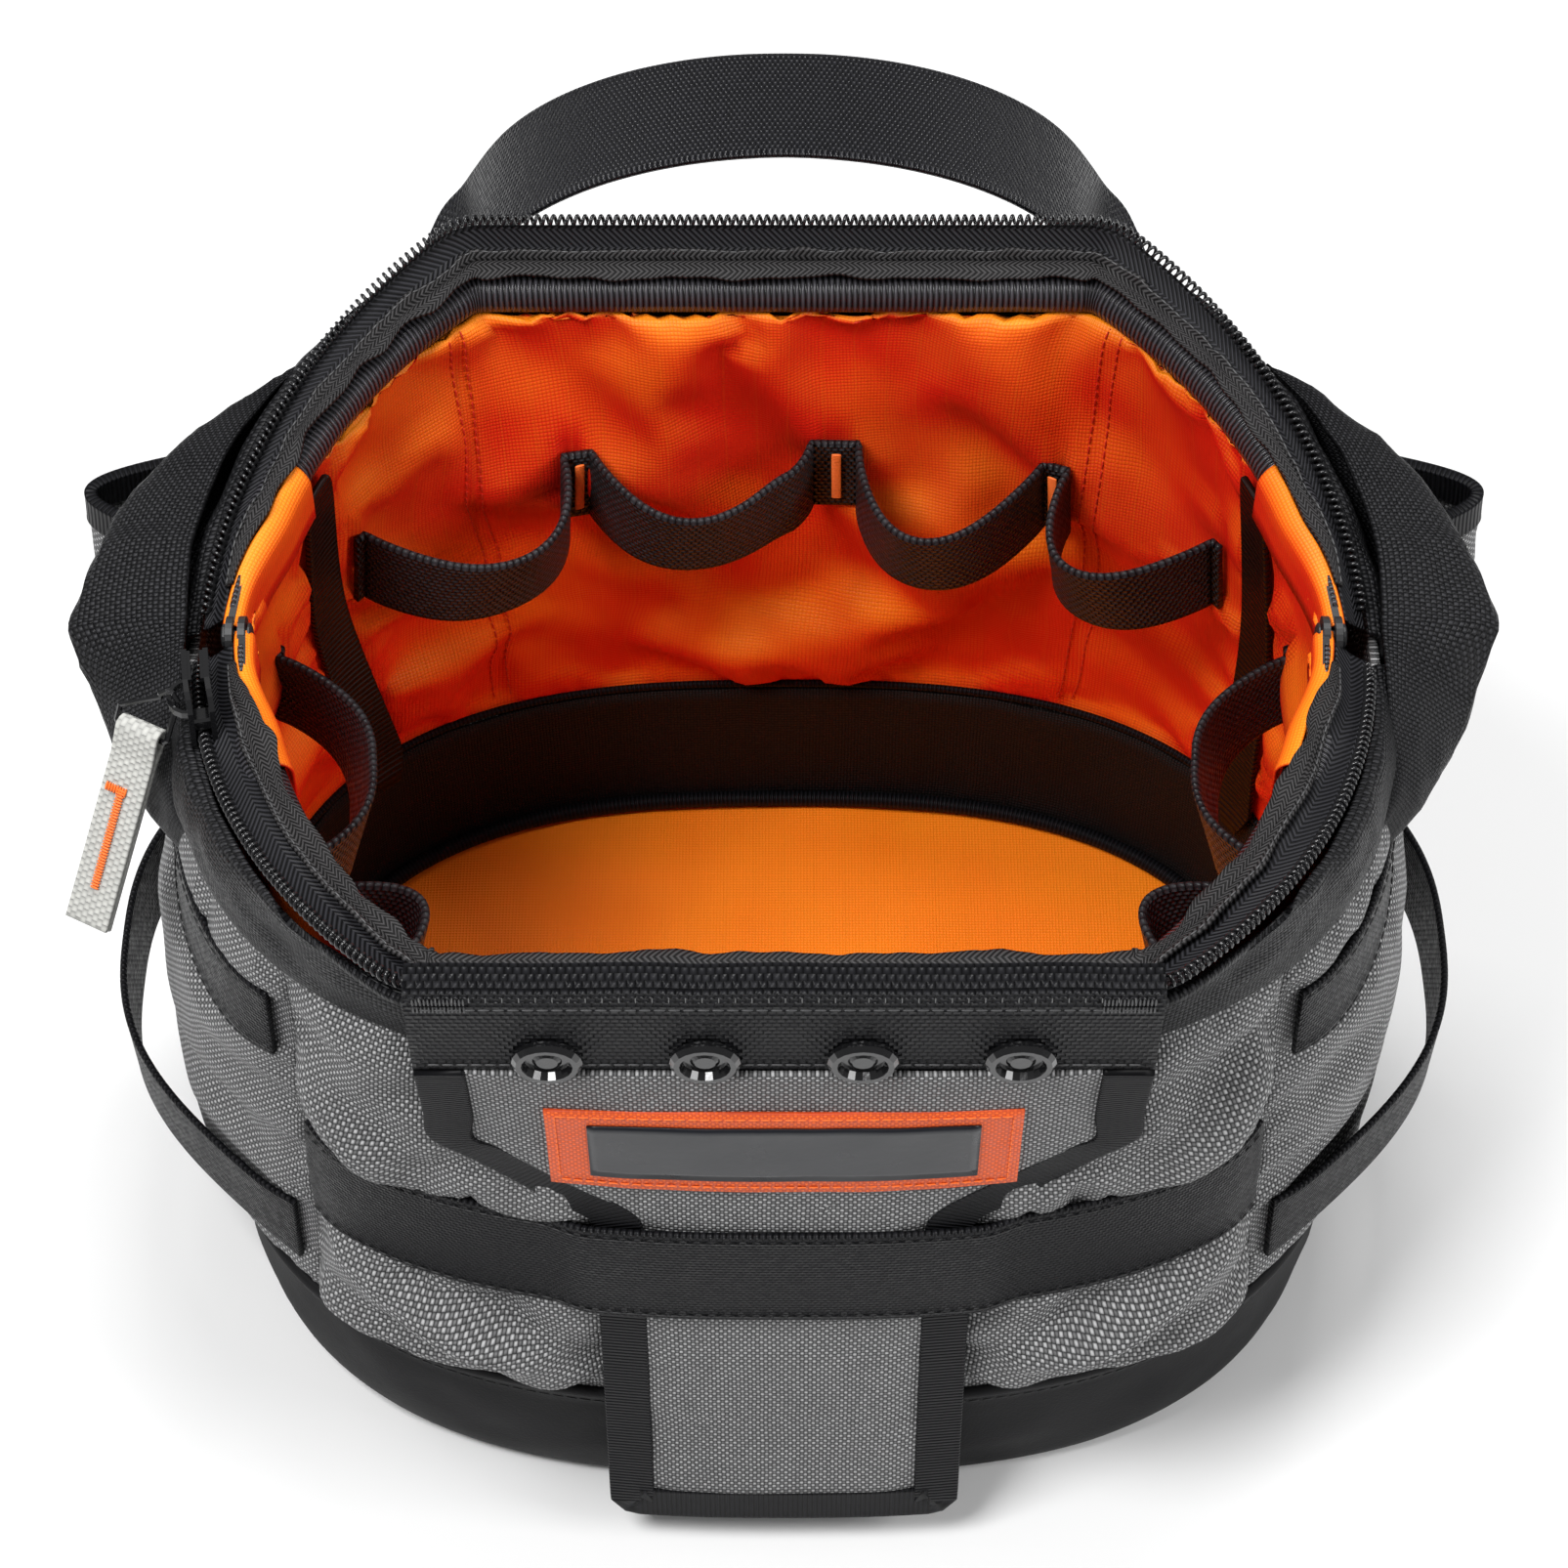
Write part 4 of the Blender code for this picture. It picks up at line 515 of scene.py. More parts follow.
def stitches(name, lines, mat, body_name, sizes):
    """Rows of thread stitches. Each line is points (n, 3) on the surface, with a normal for each."""
    pitch, length, radius = sizes
    form, form_faces = stitch_form()
    verts, faces = [], []
    for points, up in lines:
        points = np.asarray(points, float)
        up = np.broadcast_to(np.asarray(up, float), points.shape)
        run = run_length(points)
        for s in np.arange(pitch / 2, run[-1], pitch):
            a, b, n = (np.array([np.interp(at, run, values[:, c]) for c in range(3)])
                       for at, values in ((s - length / 2, points), (s + length / 2, points), (s, up)))
            way = b - a
            size = np.linalg.norm(way)
            if size < length * 0.3:
                continue
            way /= size
            n = unit(n - way * n.dot(way))
            middle = (a + b) / 2 + n * radius * 0.45
            start = len(verts) * len(form)
            verts.append(middle + form[:, :1] * size * way + form[:, 1:2] * radius * n
                         + form[:, 2:] * radius * np.cross(way, n))
            faces += [tuple(start + q for q in f) for f in form_faces]
    obj = mesh_object(name, np.concatenate(verts), faces, None, mat)
    return attach(obj, body_name, ())


# Looks

class Look:
    """Builds one procedural material with short calls for its nodes."""

    def __init__(self, name, colour=(0.5, 0.5, 0.5), roughness=0.6, metallic=0.0, specular=0.5, coat=0.0):
        self.made = bpy.data.materials.new(name)
        self.made.use_nodes = True
        self.nodes = self.made.node_tree.nodes
        self.links = self.made.node_tree.links
        self.shader = self.nodes["Principled BSDF"]
        for key, value in (("Base Color", (*colour, 1)), ("Roughness", roughness), ("Metallic", metallic),
                           ("Specular IOR Level", specular), ("Coat Weight", coat)):
            self.shader.inputs[key].default_value = value

    def put(self, socket, value):
        if isinstance(value, bpy.types.NodeSocket):
            self.links.new(value, socket)
        elif isinstance(value, (tuple, list)) and len(value) == 3 and socket.type == "RGBA":
            socket.default_value = (*value, 1)
        else:
            socket.default_value = value

    def do(self, operation, *values):
        node = self.nodes.new("ShaderNodeMath")
        node.operation = operation
        for socket, value in zip(node.inputs, values):
            self.put(socket, value)
        return node.outputs[0]

    def times(self, a, b):
        return self.do("MULTIPLY", a, b)

    def plus(self, a, b):
        return self.do("ADD", a, b)

    def scaled(self, value, factor, start):
        return self.do("MULTIPLY_ADD", value, factor, start)

    def cloth(self):
        node = self.nodes.new("ShaderNodeUVMap")
        node.uv_map = "Cloth"
        split = self.nodes.new("ShaderNodeSeparateXYZ")
        self.links.new(node.outputs[0], split.inputs[0])
        return split.outputs[0], split.outputs[1]

    def place(self):
        node = self.nodes.new("ShaderNodeTexCoord")
        return node.outputs["Object"]

    def noise(self, where, scale, detail=2.0):
        node = self.nodes.new("ShaderNodeTexNoise")
        self.put(node.inputs["Vector"], where)
        node.inputs["Scale"].default_value = scale
        node.inputs["Detail"].default_value = detail
        return node.outputs["Fac"]

    def white(self, x, y):
        pair = self.nodes.new("ShaderNodeCombineXYZ")
        self.put(pair.inputs[0], x)
        self.put(pair.inputs[1], y)
        node = self.nodes.new("ShaderNodeTexWhiteNoise")
        node.noise_dimensions = "2D"
        self.put(node.inputs["Vector"], pair.outputs[0])
        return node.outputs["Value"]

    def blend(self, kind, first, out, share, a, b):
        node = self.nodes.new("ShaderNodeMix")
        node.data_type = kind
        for place, value in ((0, share), (first, a), (first + 1, b)):
            self.put(node.inputs[place], value)
        return node.outputs[out]

    def mix(self, share, a, b):
        return self.blend("RGBA", 6, 2, share, a, b)

    def lerp(self, share, a, b):
        return self.blend("FLOAT", 2, 0, share, a, b)

    def wave(self, value):
        """Half a sine over each whole step of value."""
        return self.do("SINE", self.times(self.do("FRACT", value), math.pi))

    def bump(self, height, distance, strength=1.0, under=None):
        node = self.nodes.new("ShaderNodeBump")
        node.inputs["Strength"].default_value = strength
        node.inputs["Distance"].default_value = distance
        self.put(node.inputs["Height"], height)
        if under is not None:
            self.links.new(under, node.inputs["Normal"])
        return node.outputs[0]

    def set(self, key, value):
        self.put(self.shader.inputs[key], value)

    def weave(self, u, v, pitch_u, pitch_v):
        """Height of a plain weave, and a random number for each thread crossing."""
        cu, cv = self.times(u, 1 / pitch_u), self.times(v, 1 / pitch_v)
        iu, iv = self.do("FLOOR", cu), self.do("FLOOR", cv)
        hu, hv = self.wave(cu), self.wave(cv)
        odd = self.do("FLOORED_MODULO", self.plus(iu, iv), 2.0)
        over_u = self.times(self.do("SQRT", hu), self.scaled(hv, 0.65, 0.35))
        over_v = self.times(self.do("SQRT", hv), self.scaled(hu, 0.65, 0.35))
        return self.lerp(odd, over_u, over_v), self.white(iu, iv), odd


def ballistic(name, dark, light, pitch, rough=0.55, depth=0.00035, spec=0.5, dot=0.75):
    """Coarse plain weave of flat nylon yarns: every second crossing is a small bright pillow."""
    look = Look(name, roughness=rough, specular=spec)
    u, v = look.cloth()
    place = look.place()
    drift = look.noise(place, 60.0)
    wobble = look.times(look.do("SUBTRACT", drift, 0.5), pitch * 0.8)
    u, v = look.plus(u, wobble), look.plus(v, wobble)
    height, chance, odd = look.weave(u, v, pitch, pitch * 1.15)
    # Yarn tops lighter and the gaps between yarns darker: painted highlight and painted shade on the weave.
    tone = look.times(look.do("POWER", height, 1.3), look.scaled(chance, 0.4, 0.8))
    # Soft blotches lighten and darken the cloth by up to a sixth at random: painted light and shade.
    tone = look.times(tone, look.scaled(look.noise(place, 14.0, 3.0), 0.35, 0.825))
    tone = look.times(tone, look.scaled(odd, dot, 1.08 - dot))
    look.set("Base Color", look.mix(tone, dark, light))
    look.set("Roughness", look.scaled(chance, 0.2, rough - 0.1))
    look.set("Normal", look.bump(height, depth))
    return look.made


def webbing(name, dark, light, rib, yarn, rough, depth, spec=0.5):
    """Woven band with ribs across its length, each broken by the yarns that run along it."""
    look = Look(name, roughness=rough, specular=spec)
    u, v = look.cloth()
    cu, cv = look.times(u, 1 / rib), look.times(v, 1 / yarn)
    column = look.do("FLOOR", cv)
    shifted = look.plus(cu, look.times(look.do("FLOORED_MODULO", column, 2.0), 0.5))
    ribs = look.do("ABSOLUTE", look.do("SINE", look.times(shifted, math.pi)))
    height = look.times(look.do("POWER", ribs, 0.6), look.scaled(look.wave(cv), 0.55, 0.45))
    chance = look.white(look.do("FLOOR", shifted), column)
    # Rib tops lighter and the hollows between them darker: painted highlight and painted shade on the ribs.
    tone = look.times(height, look.scaled(chance, 0.4, 0.75))
    tone = look.times(tone, look.scaled(look.noise(look.place(), 18.0), 0.3, 0.85))
    look.set("Base Color", look.mix(tone, dark, light))
    look.set("Roughness", look.scaled(chance, 0.2, rough - 0.1))
    look.set("Normal", look.bump(height, depth))
    return look.made


def lining_cloth(name, shade_red, lit_orange, painted_top_light=0.9):
    """Fine coated weave with faint ripstop lines, mixed from a shaded red to a lit orange: painted light
    brightens the yarn tops, faces that turn upwards and soft patches of painted sheen.
    """
    look = Look(name, roughness=0.5, specular=0.3)
    u, v = look.cloth()
    height = look.weave(u, v, 0.0009, 0.0009)[0]
    lines = look.do("LESS_THAN", look.do("FRACT", look.times(u, 1 / 0.0085)), 0.07)
    # Soft noise patches of painted sheen.
    painted_sheen_patches = look.noise(look.place(), 22.0)
    facing = look.nodes.new("ShaderNodeSeparateXYZ")
    look.links.new(look.nodes.new("ShaderNodeNewGeometry").outputs["Normal"], facing.inputs[0])
    # Painted light from above: the more a face points up, the more orange it is drawn.
    lit = look.scaled(facing.outputs[2], painted_top_light, -0.06)
    share = look.plus(look.times(height, 0.30), look.scaled(painted_sheen_patches, 1.0, -0.5))
    share = look.do("MINIMUM", look.do("MAXIMUM", look.plus(share, lit), 0.0), 1.0)
    look.set("Base Color", look.mix(look.scaled(lines, 0.05, share), shade_red, lit_orange))
    look.set("Normal", look.bump(look.plus(height, look.times(lines, 0.8)), 0.00014))
    return look.made


def lined(look, along, pitch, dark, light, depth):
    """Even lines of yarn across the value along."""
    height = look.scaled(look.do("SINE", look.times(along, 2 * math.pi / pitch)), 0.5, 0.5)
    # Crests of the yarns lighter and hollows darker: painted highlight and painted shade.
    look.set("Base Color", look.mix(height, dark, light))
    look.set("Normal", look.bump(height, depth))
    return look.made


def herringbone(name, dark, light, pitch, width):
    """Zipper tape: slanted yarns that turn back at each column."""
    look = Look(name, roughness=0.5, specular=0.15)
    u, v = look.cloth()
    return lined(look, look.plus(u, look.do("PINGPONG", v, width)), pitch, dark, light, 0.0002)


def ribbed(name, dark, light, pitch, rough, spec):
    """Grosgrain binding: fine ribs across its length."""
    look = Look(name, roughness=rough, specular=spec)
    return lined(look, look.cloth()[0], pitch, dark, light, pitch * 0.3)


def rubber(name, dark, light):
    look = Look(name, roughness=0.55, specular=0.13)
    place = look.place()
    grain = look.noise(place, 1500.0, 1.0)
    patch = look.noise(place, 35.0, 4.0)
    look.set("Base Color", look.mix(patch, dark, light))
    look.set("Roughness", look.scaled(patch, 0.25, 0.48))
    look.set("Normal", look.bump(grain, 0.00012, 0.8, look.bump(patch, 0.0008, 0.6)))
    return look.made


def plastic(name, colour, rough, metallic=0.0, coat=0.0, scale=900.0, depth=0.00003):
    look = Look(name, colour, rough, metallic, coat=coat)
    place = look.place()
    look.set("Roughness", look.scaled(look.noise(place, 90.0, 3.0), 0.2, rough - 0.1))
    look.set("Normal", look.bump(look.noise(place, scale), depth))
    return look.made


BLACK_D = (0.0006, 0.0006, 0.0008)
GREY = ballistic("grey_ballistic", (0.006, 0.006, 0.007), (0.50, 0.50, 0.505), 0.00095, 0.5, 0.0005,
                 spec=0.2)
BLACK = ballistic("black_ballistic", BLACK_D, (0.030, 0.030, 0.033), 0.0011, 0.45, 0.0004, spec=0.15)
BLACK_FINE = ballistic("black_fine", (0.0010, 0.0007, 0.0006), (0.013, 0.009, 0.008), 0.0009, 0.6, 0.0003,
                       spec=0.15, dot=0.2)
WEB = webbing("black_webbing", BLACK_D, (0.010, 0.010, 0.012), 0.0015, 0.0011, 0.42, 0.0005, spec=0.14)
# The loops' light tone is raised to paint bright highlights on their ribs.
WEB_LOOP = webbing("loop_webbing", BLACK_D, (0.034, 0.035, 0.039), 0.0018, 0.0014, 0.42, 0.0007, spec=0.2)
WEB_HEAD = webbing("head_webbing", BLACK_D, (0.011, 0.011, 0.013), 0.0018, 0.0015, 0.42, 0.0006, spec=0.16)
WEB_SHINY = webbing("handle_webbing", BLACK_D, (0.010, 0.010, 0.013), 0.0013, 0.0014, 0.34, 0.0005,
                    spec=0.28)
BIND = ribbed("binding_tape", BLACK_D, (0.008, 0.008, 0.010), 0.0012, 0.45, 0.15)
# The channel's light tone paints a satin highlight on each rib.
CHANNEL = ribbed("channel_tape", (0.0006, 0.0006, 0.0006), (0.060, 0.058, 0.066), 0.0014, 0.26, 0.4)
TAPE = herringbone("zip_tape", BLACK_D, (0.026, 0.026, 0.030), 0.0016, 0.0045)
TWILL = herringbone("facing_twill", (0.0012, 0.0011, 0.0011), (0.048, 0.046, 0.047), 0.0014, 0.0021)
# Lining and floor: the red is the cloth in painted shade and the orange the same cloth in painted light.
LINING = lining_cloth("orange_lining", (0.74, 0.012, 0.003), (1.0, 0.26, 0.008))
FLOOR = lining_cloth("orange_floor", (0.95, 0.14, 0.004), (1.0, 0.26, 0.006), painted_top_light=0.7)
RUBBER = rubber("base_rubber", (0.003, 0.003, 0.0035), (0.010, 0.010, 0.011))
COIL = plastic("zip_coil", (0.012, 0.012, 0.013), 0.16)
METAL = plastic("black_enamel", (0.010, 0.010, 0.011), 0.16, 0.4, 0.5)
STAY = ribbed("stay_strip", (0.004, 0.0012, 0.0008), (0.014, 0.004, 0.003), 0.0024, 0.42, 0.12)
THREAD = plastic("black_thread", (0.012, 0.012, 0.013), 0.5)
THREAD_GREY = plastic("grey_thread", (0.055, 0.055, 0.057), 0.5)
THREAD_PALE = plastic("pale_thread", (0.13, 0.13, 0.13), 0.5)
THREAD_ORANGE = plastic("orange_thread", (0.90, 0.17, 0.02), 0.55)
THREAD_RED = plastic("lining_thread", (0.55, 0.016, 0.004), 0.55)
PATCH = ballistic("label_cloth", (0.55, 0.05, 0.004), (1.0, 0.16, 0.010), 0.0008, depth=0.0001)
FILM = plastic("label_film", (0.004, 0.005, 0.009), 0.3, scale=400.0, depth=0.00004)
PALE = webbing("tag_webbing", (0.33, 0.33, 0.315), (0.50, 0.50, 0.47), 0.0017, 0.0014, 0.75, 0.0003)


# Base

BOTTOM_SHARES = (0.02, 0.3, 0.6, 0.85, 0.97)
FLOOR_SHARES = (0.02, 0.15, 0.3, 0.45, 0.6, 0.75, 0.88, 0.95, 1.0)
SHELL_HEIGHTS = (0.0, 0.0003, 0.0014, 0.004, 0.008, 0.013, 0.018, 0.022, 0.028, 0.034, 0.040, 0.0445)
# Rolled rim of the shell: height, and how far it stands off the body's outline
SHELL_RIM = ((0.0455, 0.0002), (0.0468, 0.0011), (0.0482, 0.0017), (0.0496, 0.0018), (0.0508, 0.0012),
             (0.0513, 0.0002), (0.0508, -0.0006), (0.049, -0.0008), (0.047, -0.0014), (0.040, -0.0016))
SHELL_DENT, RIM_WAVE = 0.0011, 0.0004
STITCH_Z, STITCH_OFF = 0.0448, 0.0006
FLOOR_EDGE = (0.0026, -0.0038)
FLOOR_Z, FLOOR_CROWN, FLOOR_WAVE = 0.0071, 0.0014, 0.0009
BAND_LOW, BAND_HIGH = 0.0075, 0.0565
BAND_INSET, BAND_SLACK, BAND_FOLD = 0.0034, 0.0006, 0.0016
# Cording round the floor and along the band: height, inset and radius
FLOOR_CORD = (0.0105, 0.0072, 0.0023)
BAND_CORD = (0.0585, 0.0044, 0.0011)


def build_base():
    angles = around(220)
    rows = []
    for share in BOTTOM_SHARES:
        p = body(angles, np.zeros_like(angles))
        p[:, :2] *= share
        rows.append(p)
    for z in SHELL_HEIGHTS:
        p = body(angles, z)
        dent = SHELL_DENT * min(z / 0.02, 1)
        p += body_out(angles) * (noises(p, (0.03, 0.03, 0.02), 3.1)[:, None] * dent)
        rows.append(p)
    for z, off in SHELL_RIM:
        p = body(angles, z, off)
        p[:, 2] += RIM_WAVE * noises(p, 0.02, 7.7)
        rows.append(p)
    grid("base_shell", np.stack(rows, 1), RUBBER, "body", replace=("base_cup",), closed=True)
    line = body(angles, STITCH_Z, STITCH_OFF)
    stitches("base_stitches", [(np.vstack([line, line[:1]]), body_out(np.append(angles, 0.0)))], THREAD,
             "body", STITCH["base"])

    inner = around(160)
    rows = []
    for share in FLOOR_SHARES:
        p = body(inner, *FLOOR_EDGE)
        p[:, :2] *= share
        p[:, 2] = FLOOR_Z + FLOOR_CROWN * (1 - share ** 4) + FLOOR_WAVE * noises(p, 0.035, 1.3)
        rows.append(p)
    obj = grid("floor_cloth", np.stack(rows, 1), FLOOR, "body", replace=("floor_panel",), closed=True)
    planar_uv(obj, 0, 1)

    rows = []
    for z in np.linspace(BAND_LOW, BAND_HIGH, 12):
        p = body(inner, z, -BAND_INSET)
        fold = BAND_SLACK + BAND_FOLD * np.abs(noises(p, (0.03, 0.03, 0.05), 5.0))
        rows.append(p - body_out(inner) * fold[:, None])
    obj = grid("base_band_cloth", np.stack(rows, 1), BLACK_FINE, "body", 0.001, -1,
               replace=("inner_base_band",), closed=True)
    z, inset, radius = FLOOR_CORD
    tube("floor_cording", body(inner, z, -inset), radius, BIND, "body", 10, ("floor_piping",),
         True)
    z, inset, radius = BAND_CORD
    tube("band_cording", body(inner, z, -inset), radius, BIND, "body", 8, (), True)


# Walls

WALL_STEP, WALL_CLOTH = 0.0027, 0.002
WALL_LOW, WALL_HIGH = 0.0495, WALL_TOP + 0.001
HELD_LOW, HELD_HIGH, HELD_EDGE = 0.0535, 0.1935, 0.002
# Two swellings of the front wall, below and above the belt: size, height and half width
PUFFS = ((0.0042, 0.076, 0.017), (0.0030, 0.158, 0.016))
SINK, SINK_REACH = 0.0022, 0.003
FOLDS_FRONT = (
    # x, z, direction in degrees, half length, half width, height
    (0.076, 0.081, 24, 0.030, 0.0065, 0.0060), (0.090, 0.0645, 20, 0.026, 0.0055, 0.0048),
    (0.058, 0.0625, 12, 0.020, 0.0050, 0.0040), (0.097, 0.152, 38, 0.022, 0.0075, 0.0042),
    (-0.074, 0.080, -26, 0.030, 0.0065, 0.0060), (-0.091, 0.0635, -18, 0.026, 0.0055, 0.0048),
    (-0.057, 0.0620, -14, 0.020, 0.0050, 0.0040), (-0.096, 0.150, -35, 0.022, 0.0075, 0.0042),
)


def fold_height(x, z, folds):
    total = np.zeros_like(x)
    for fx, fz, turn, length, width, height in folds:
        c, s = math.cos(math.radians(turn)), math.sin(math.radians(turn))
        along, across = (x - fx) * c + (z - fz) * s, (z - fz) * c - (x - fx) * s
        profile = bump(across, width) - 0.6 * bump(across - 1.6 * width, width)
        total += height * bump(along, length) * profile
    return total


def sewn_down(name, p, a, z, edge):
    """Where straps, panel or handle hold a wall flat."""
    x, y = np.abs(p[..., 0]), np.abs(p[..., 1] - SLEEVE_SEAM)
    if name == "wall_front":
        return between(z, 0.099, 0.135) | (x < 0.040) & (z < 0.135) | (x < 0.075) & (z > 0.150)
    if name == "wall_back":
        return (np.abs(x - HANDLE_X) < HANDLE_HALF) & between(z, 0.122, 0.165)
    return (between(z, 0.156, 0.178) | between(z, 0.067, 0.089) & (edge < 0.014)
            | (z > 0.150) & (a % math.pi < SEAM) & (y < 0.006))


def build_walls():
    for name, start, end in (("wall_right", -SEAM, SEAM), ("wall_back", SEAM, math.pi - SEAM),
                             ("wall_left", math.pi - SEAM, math.pi + SEAM),
                             ("wall_front", SEAM - math.pi, -SEAM)):
        a, z = np.meshgrid(even_angles(start, end, WALL_STEP), np.linspace(WALL_LOW, WALL_HIGH, 56),
                           indexing="ij")
        p = body(a, z)
        out = body_out(a)
        edge = np.minimum(np.abs(a - start), np.abs(end - a)) * BELLY_HALF[0]
        x = np.abs(p[..., 0])
        held = (edge < HELD_EDGE) | (z < HELD_LOW) | (z > HELD_HIGH) | sewn_down(name, p, a, z, edge)
        rise = smooth((z - 0.0525) / 0.016) * smooth((HELD_HIGH - z) / 0.014) * smooth(edge / 0.014)
        if name == "wall_front":
            puff = sum(size * bump(z - level, width) for size, level, width in PUFFS)
            p += out * (puff * rise * smooth((x - 0.040) / 0.016))[..., None]
        free = rise * ~held
        seed = 0.0008 * free + 0.0016 * free * noises(p, (0.034, 0.034, 0.026), 11.0, 2)
        p = p + out * seed[..., None]
        p = crumple(p, held.astype(float), 0.055, 14.0, 0.0022, 0.0070, pressure=0.6)
        if name == "wall_front":
            low = smooth((x - 0.042) / 0.010) * smooth((0.0985 - z) / 0.007)
            high = smooth((x - 0.077) / 0.010) * smooth((z - 0.1355) / 0.008)
            folds = fold_height(p[..., 0], z, FOLDS_FRONT) * rise * np.maximum(low, high)
            p += out * folds[..., None]
        p -= out * (SINK * bump(edge, SINK_REACH) * rise)[..., None]
        obj = grid("cloth_" + name, p, GREY, "body", WALL_CLOTH, -1, (name,))


# Lining

LINING_STEP, LINING_CLOTH = 0.0032, 0.0008
LINING_FOOT = LINING_LOW - 0.002
LINING_R = 0.11
SEAM_RAISE, SEAM_HALF, SEAM_STITCH = 0.0012, 0.0018, 0.002
UNDER_INSET, UNDER_DROP = 0.0022, 0.0056


def mouth_angle(half, runs):
    """Angle on the body's outline that faces each place along a half of the mouth."""
    along, away = mouth_plan(runs)[:2]
    power = POWER / 2
    return np.arctan2(half * np.maximum(away / MOUTH_AWAY, 0) ** power,
                      np.sign(along) * (np.abs(along) / MOUTH_HALF[0]) ** power)


def under_channel(angles):
    """Points under the two channels at angles round the mouth."""
    made = np.zeros((len(angles), 3))
    turn = np.arctan2(np.sin(angles), np.cos(angles))
    runs = np.linspace(-MOUTH_L, MOUTH_L, 600)
    for half, inset in BOW_INSET.items():
        at = mouth_angle(half, runs)
        path = bow(half, runs, inset + UNDER_INSET, -UNDER_DROP)
        mine = (turn >= 0) if half == BACK else (turn < 0)
        order = np.argsort(at)
        for axis in range(3):
            made[mine, axis] = np.interp(turn[mine], at[order], path[order, axis])
    return made


def hung_lining(angle, share):
    """Points of the lining before it folds, at angles and shares of its height."""
    p = lining(angle, lerp(LINING_FOOT, lining_top(angle), share))
    gather = smooth((share - 0.5) / 0.5)[..., None] ** 2
    return lerp(p, under_channel(angle.ravel()).reshape(p.shape), gather)


def stay_angle(side, share):
    low, high = STAY_ANGLES[side]
    return lerp(math.radians(low), math.radians(high), share)


def turn_between(a, b):
    return np.abs(np.arctan2(np.sin(a - b), np.cos(a - b)))


def on_grid(p, i, j):
    """Points at fractional places (i, j) of a grid that closes along i."""
    i0, j0 = i.astype(int) % len(p), np.minimum(j.astype(int), p.shape[1] - 2)
    i1 = (i0 + 1) % len(p)
    fi, fj = (i - i.astype(int))[:, None], (j - j0)[:, None]
    return (p[i0, j0] * (1 - fi) * (1 - fj) + p[i1, j0] * fi * (1 - fj)
            + p[i0, j0 + 1] * (1 - fi) * fj + p[i1, j0 + 1] * fi * fj)


def build_lining():
    angles = even_angles(0, 2 * math.pi, LINING_STEP)[:-1]
    share = np.linspace(0, 1, 50)
    a, s = np.meshgrid(angles, share, indexing="ij")
    z = lerp(LINING_FOOT, lining_top(a), s)
    p = hung_lining(a, s)
    held = (s < 0.03) | (s > 0.985)
    for stay in (stay_angle(1, s), math.pi - stay_angle(-1, s)):
        held |= turn_between(a, stay) * LINING_TOP_HALF[0] < 0.0105
    for tack in BACK_TACKS + FRONT_TACKS + RIGHT_TACKS + LEFT_TACKS:
        held |= (turn_between(a, tack) * LINING_R < 0.002) & between(z, 0.142, 0.164)
    seam_off = np.min([turn_between(a, lerp(low, high, s)) for low, high in LINING_SEAMS], 0) * LINING_R
    calm = smooth(s / 0.1) * smooth((1 - s) / 0.08)
    broad = noises(p @ np.array(LINING_SLANT), (0.026, 0.05, 0.05), 21.0, 2)
    seed = 0.0014 + 0.0034 * broad + 0.0006 * noises(p, 0.016, 4.0, 1)
    p = p - body_out(a) * (0.0006 + calm * ~held * seed)[..., None]
    p = crumple(p[::-1], held.astype(float)[::-1], 0.08, 9.0, 0.0020, 0.0110, closed=True)[::-1]
    p += body_out(a) * (SEAM_RAISE * bump(seam_off, SEAM_HALF) * calm)[..., None]
    obj = grid("lining_cloth", p, LINING, "body", LINING_CLOTH, 1, ("lining_front", "lining_back"),
               closed=True)
    lines = []
    for low, high in LINING_SEAMS:
        for shift in (-SEAM_STITCH, SEAM_STITCH):
            t = np.linspace(0.04, 0.97, 90)
            at = lerp(low, high, t) + shift / LINING_R
            i = np.interp(at % (2 * math.pi), angles, np.arange(len(angles)))
            q = on_grid(p, i, t * (len(share) - 1))
            lines.append((q - body_out(at) * 0.0003, -body_out(at)))
    stitches("lining_stitches", lines, THREAD_RED, "body", STITCH["lining"])


# Webbing outside

STRAP_REACH = SEAM - math.radians(2.5)
SLEEVE_START = math.radians(12.5)
SLEEVE_SEAM = 0.078
SLEEVE_OUT, SLEEVE_OFF = 0.036, 0.0040
SLACK_OUT = 0.021
BELT_REACH = math.pi / 2 - SEAM - math.radians(2.5)
BELT_LOW, BELT_HIGH = 0.098, 0.136


def strap_rows(start, end, z_low, z_high, offset, count, across=5):
    """Centre rows of webbing round the body; offset may be a function of angle and height."""
    angles = even_angles(start, end, 0.001)
    angles = np.interp(np.linspace(0, 1, count), np.linspace(0, 1, len(angles)), angles)
    a, z = np.meshgrid(angles, np.linspace(z_low, z_high, across), indexing="ij")
    return body(a, z, offset(a, z) if callable(offset) else offset), a


def side_band(side, start, z_low, z_high, base, bulge, count, across=5):
    """Centre rows of webbing round a side, which stands off sideways by bulge at its middle."""
    rows, a = strap_rows(start, STRAP_REACH, z_low, z_high, base, count, across)
    rows[..., 0] += bulge * np.sin(math.pi * (a - start) / (STRAP_REACH - start)) ** 2
    if side < 0:
        rows[..., 0] *= -1
        rows = rows[::-1]
    return rows


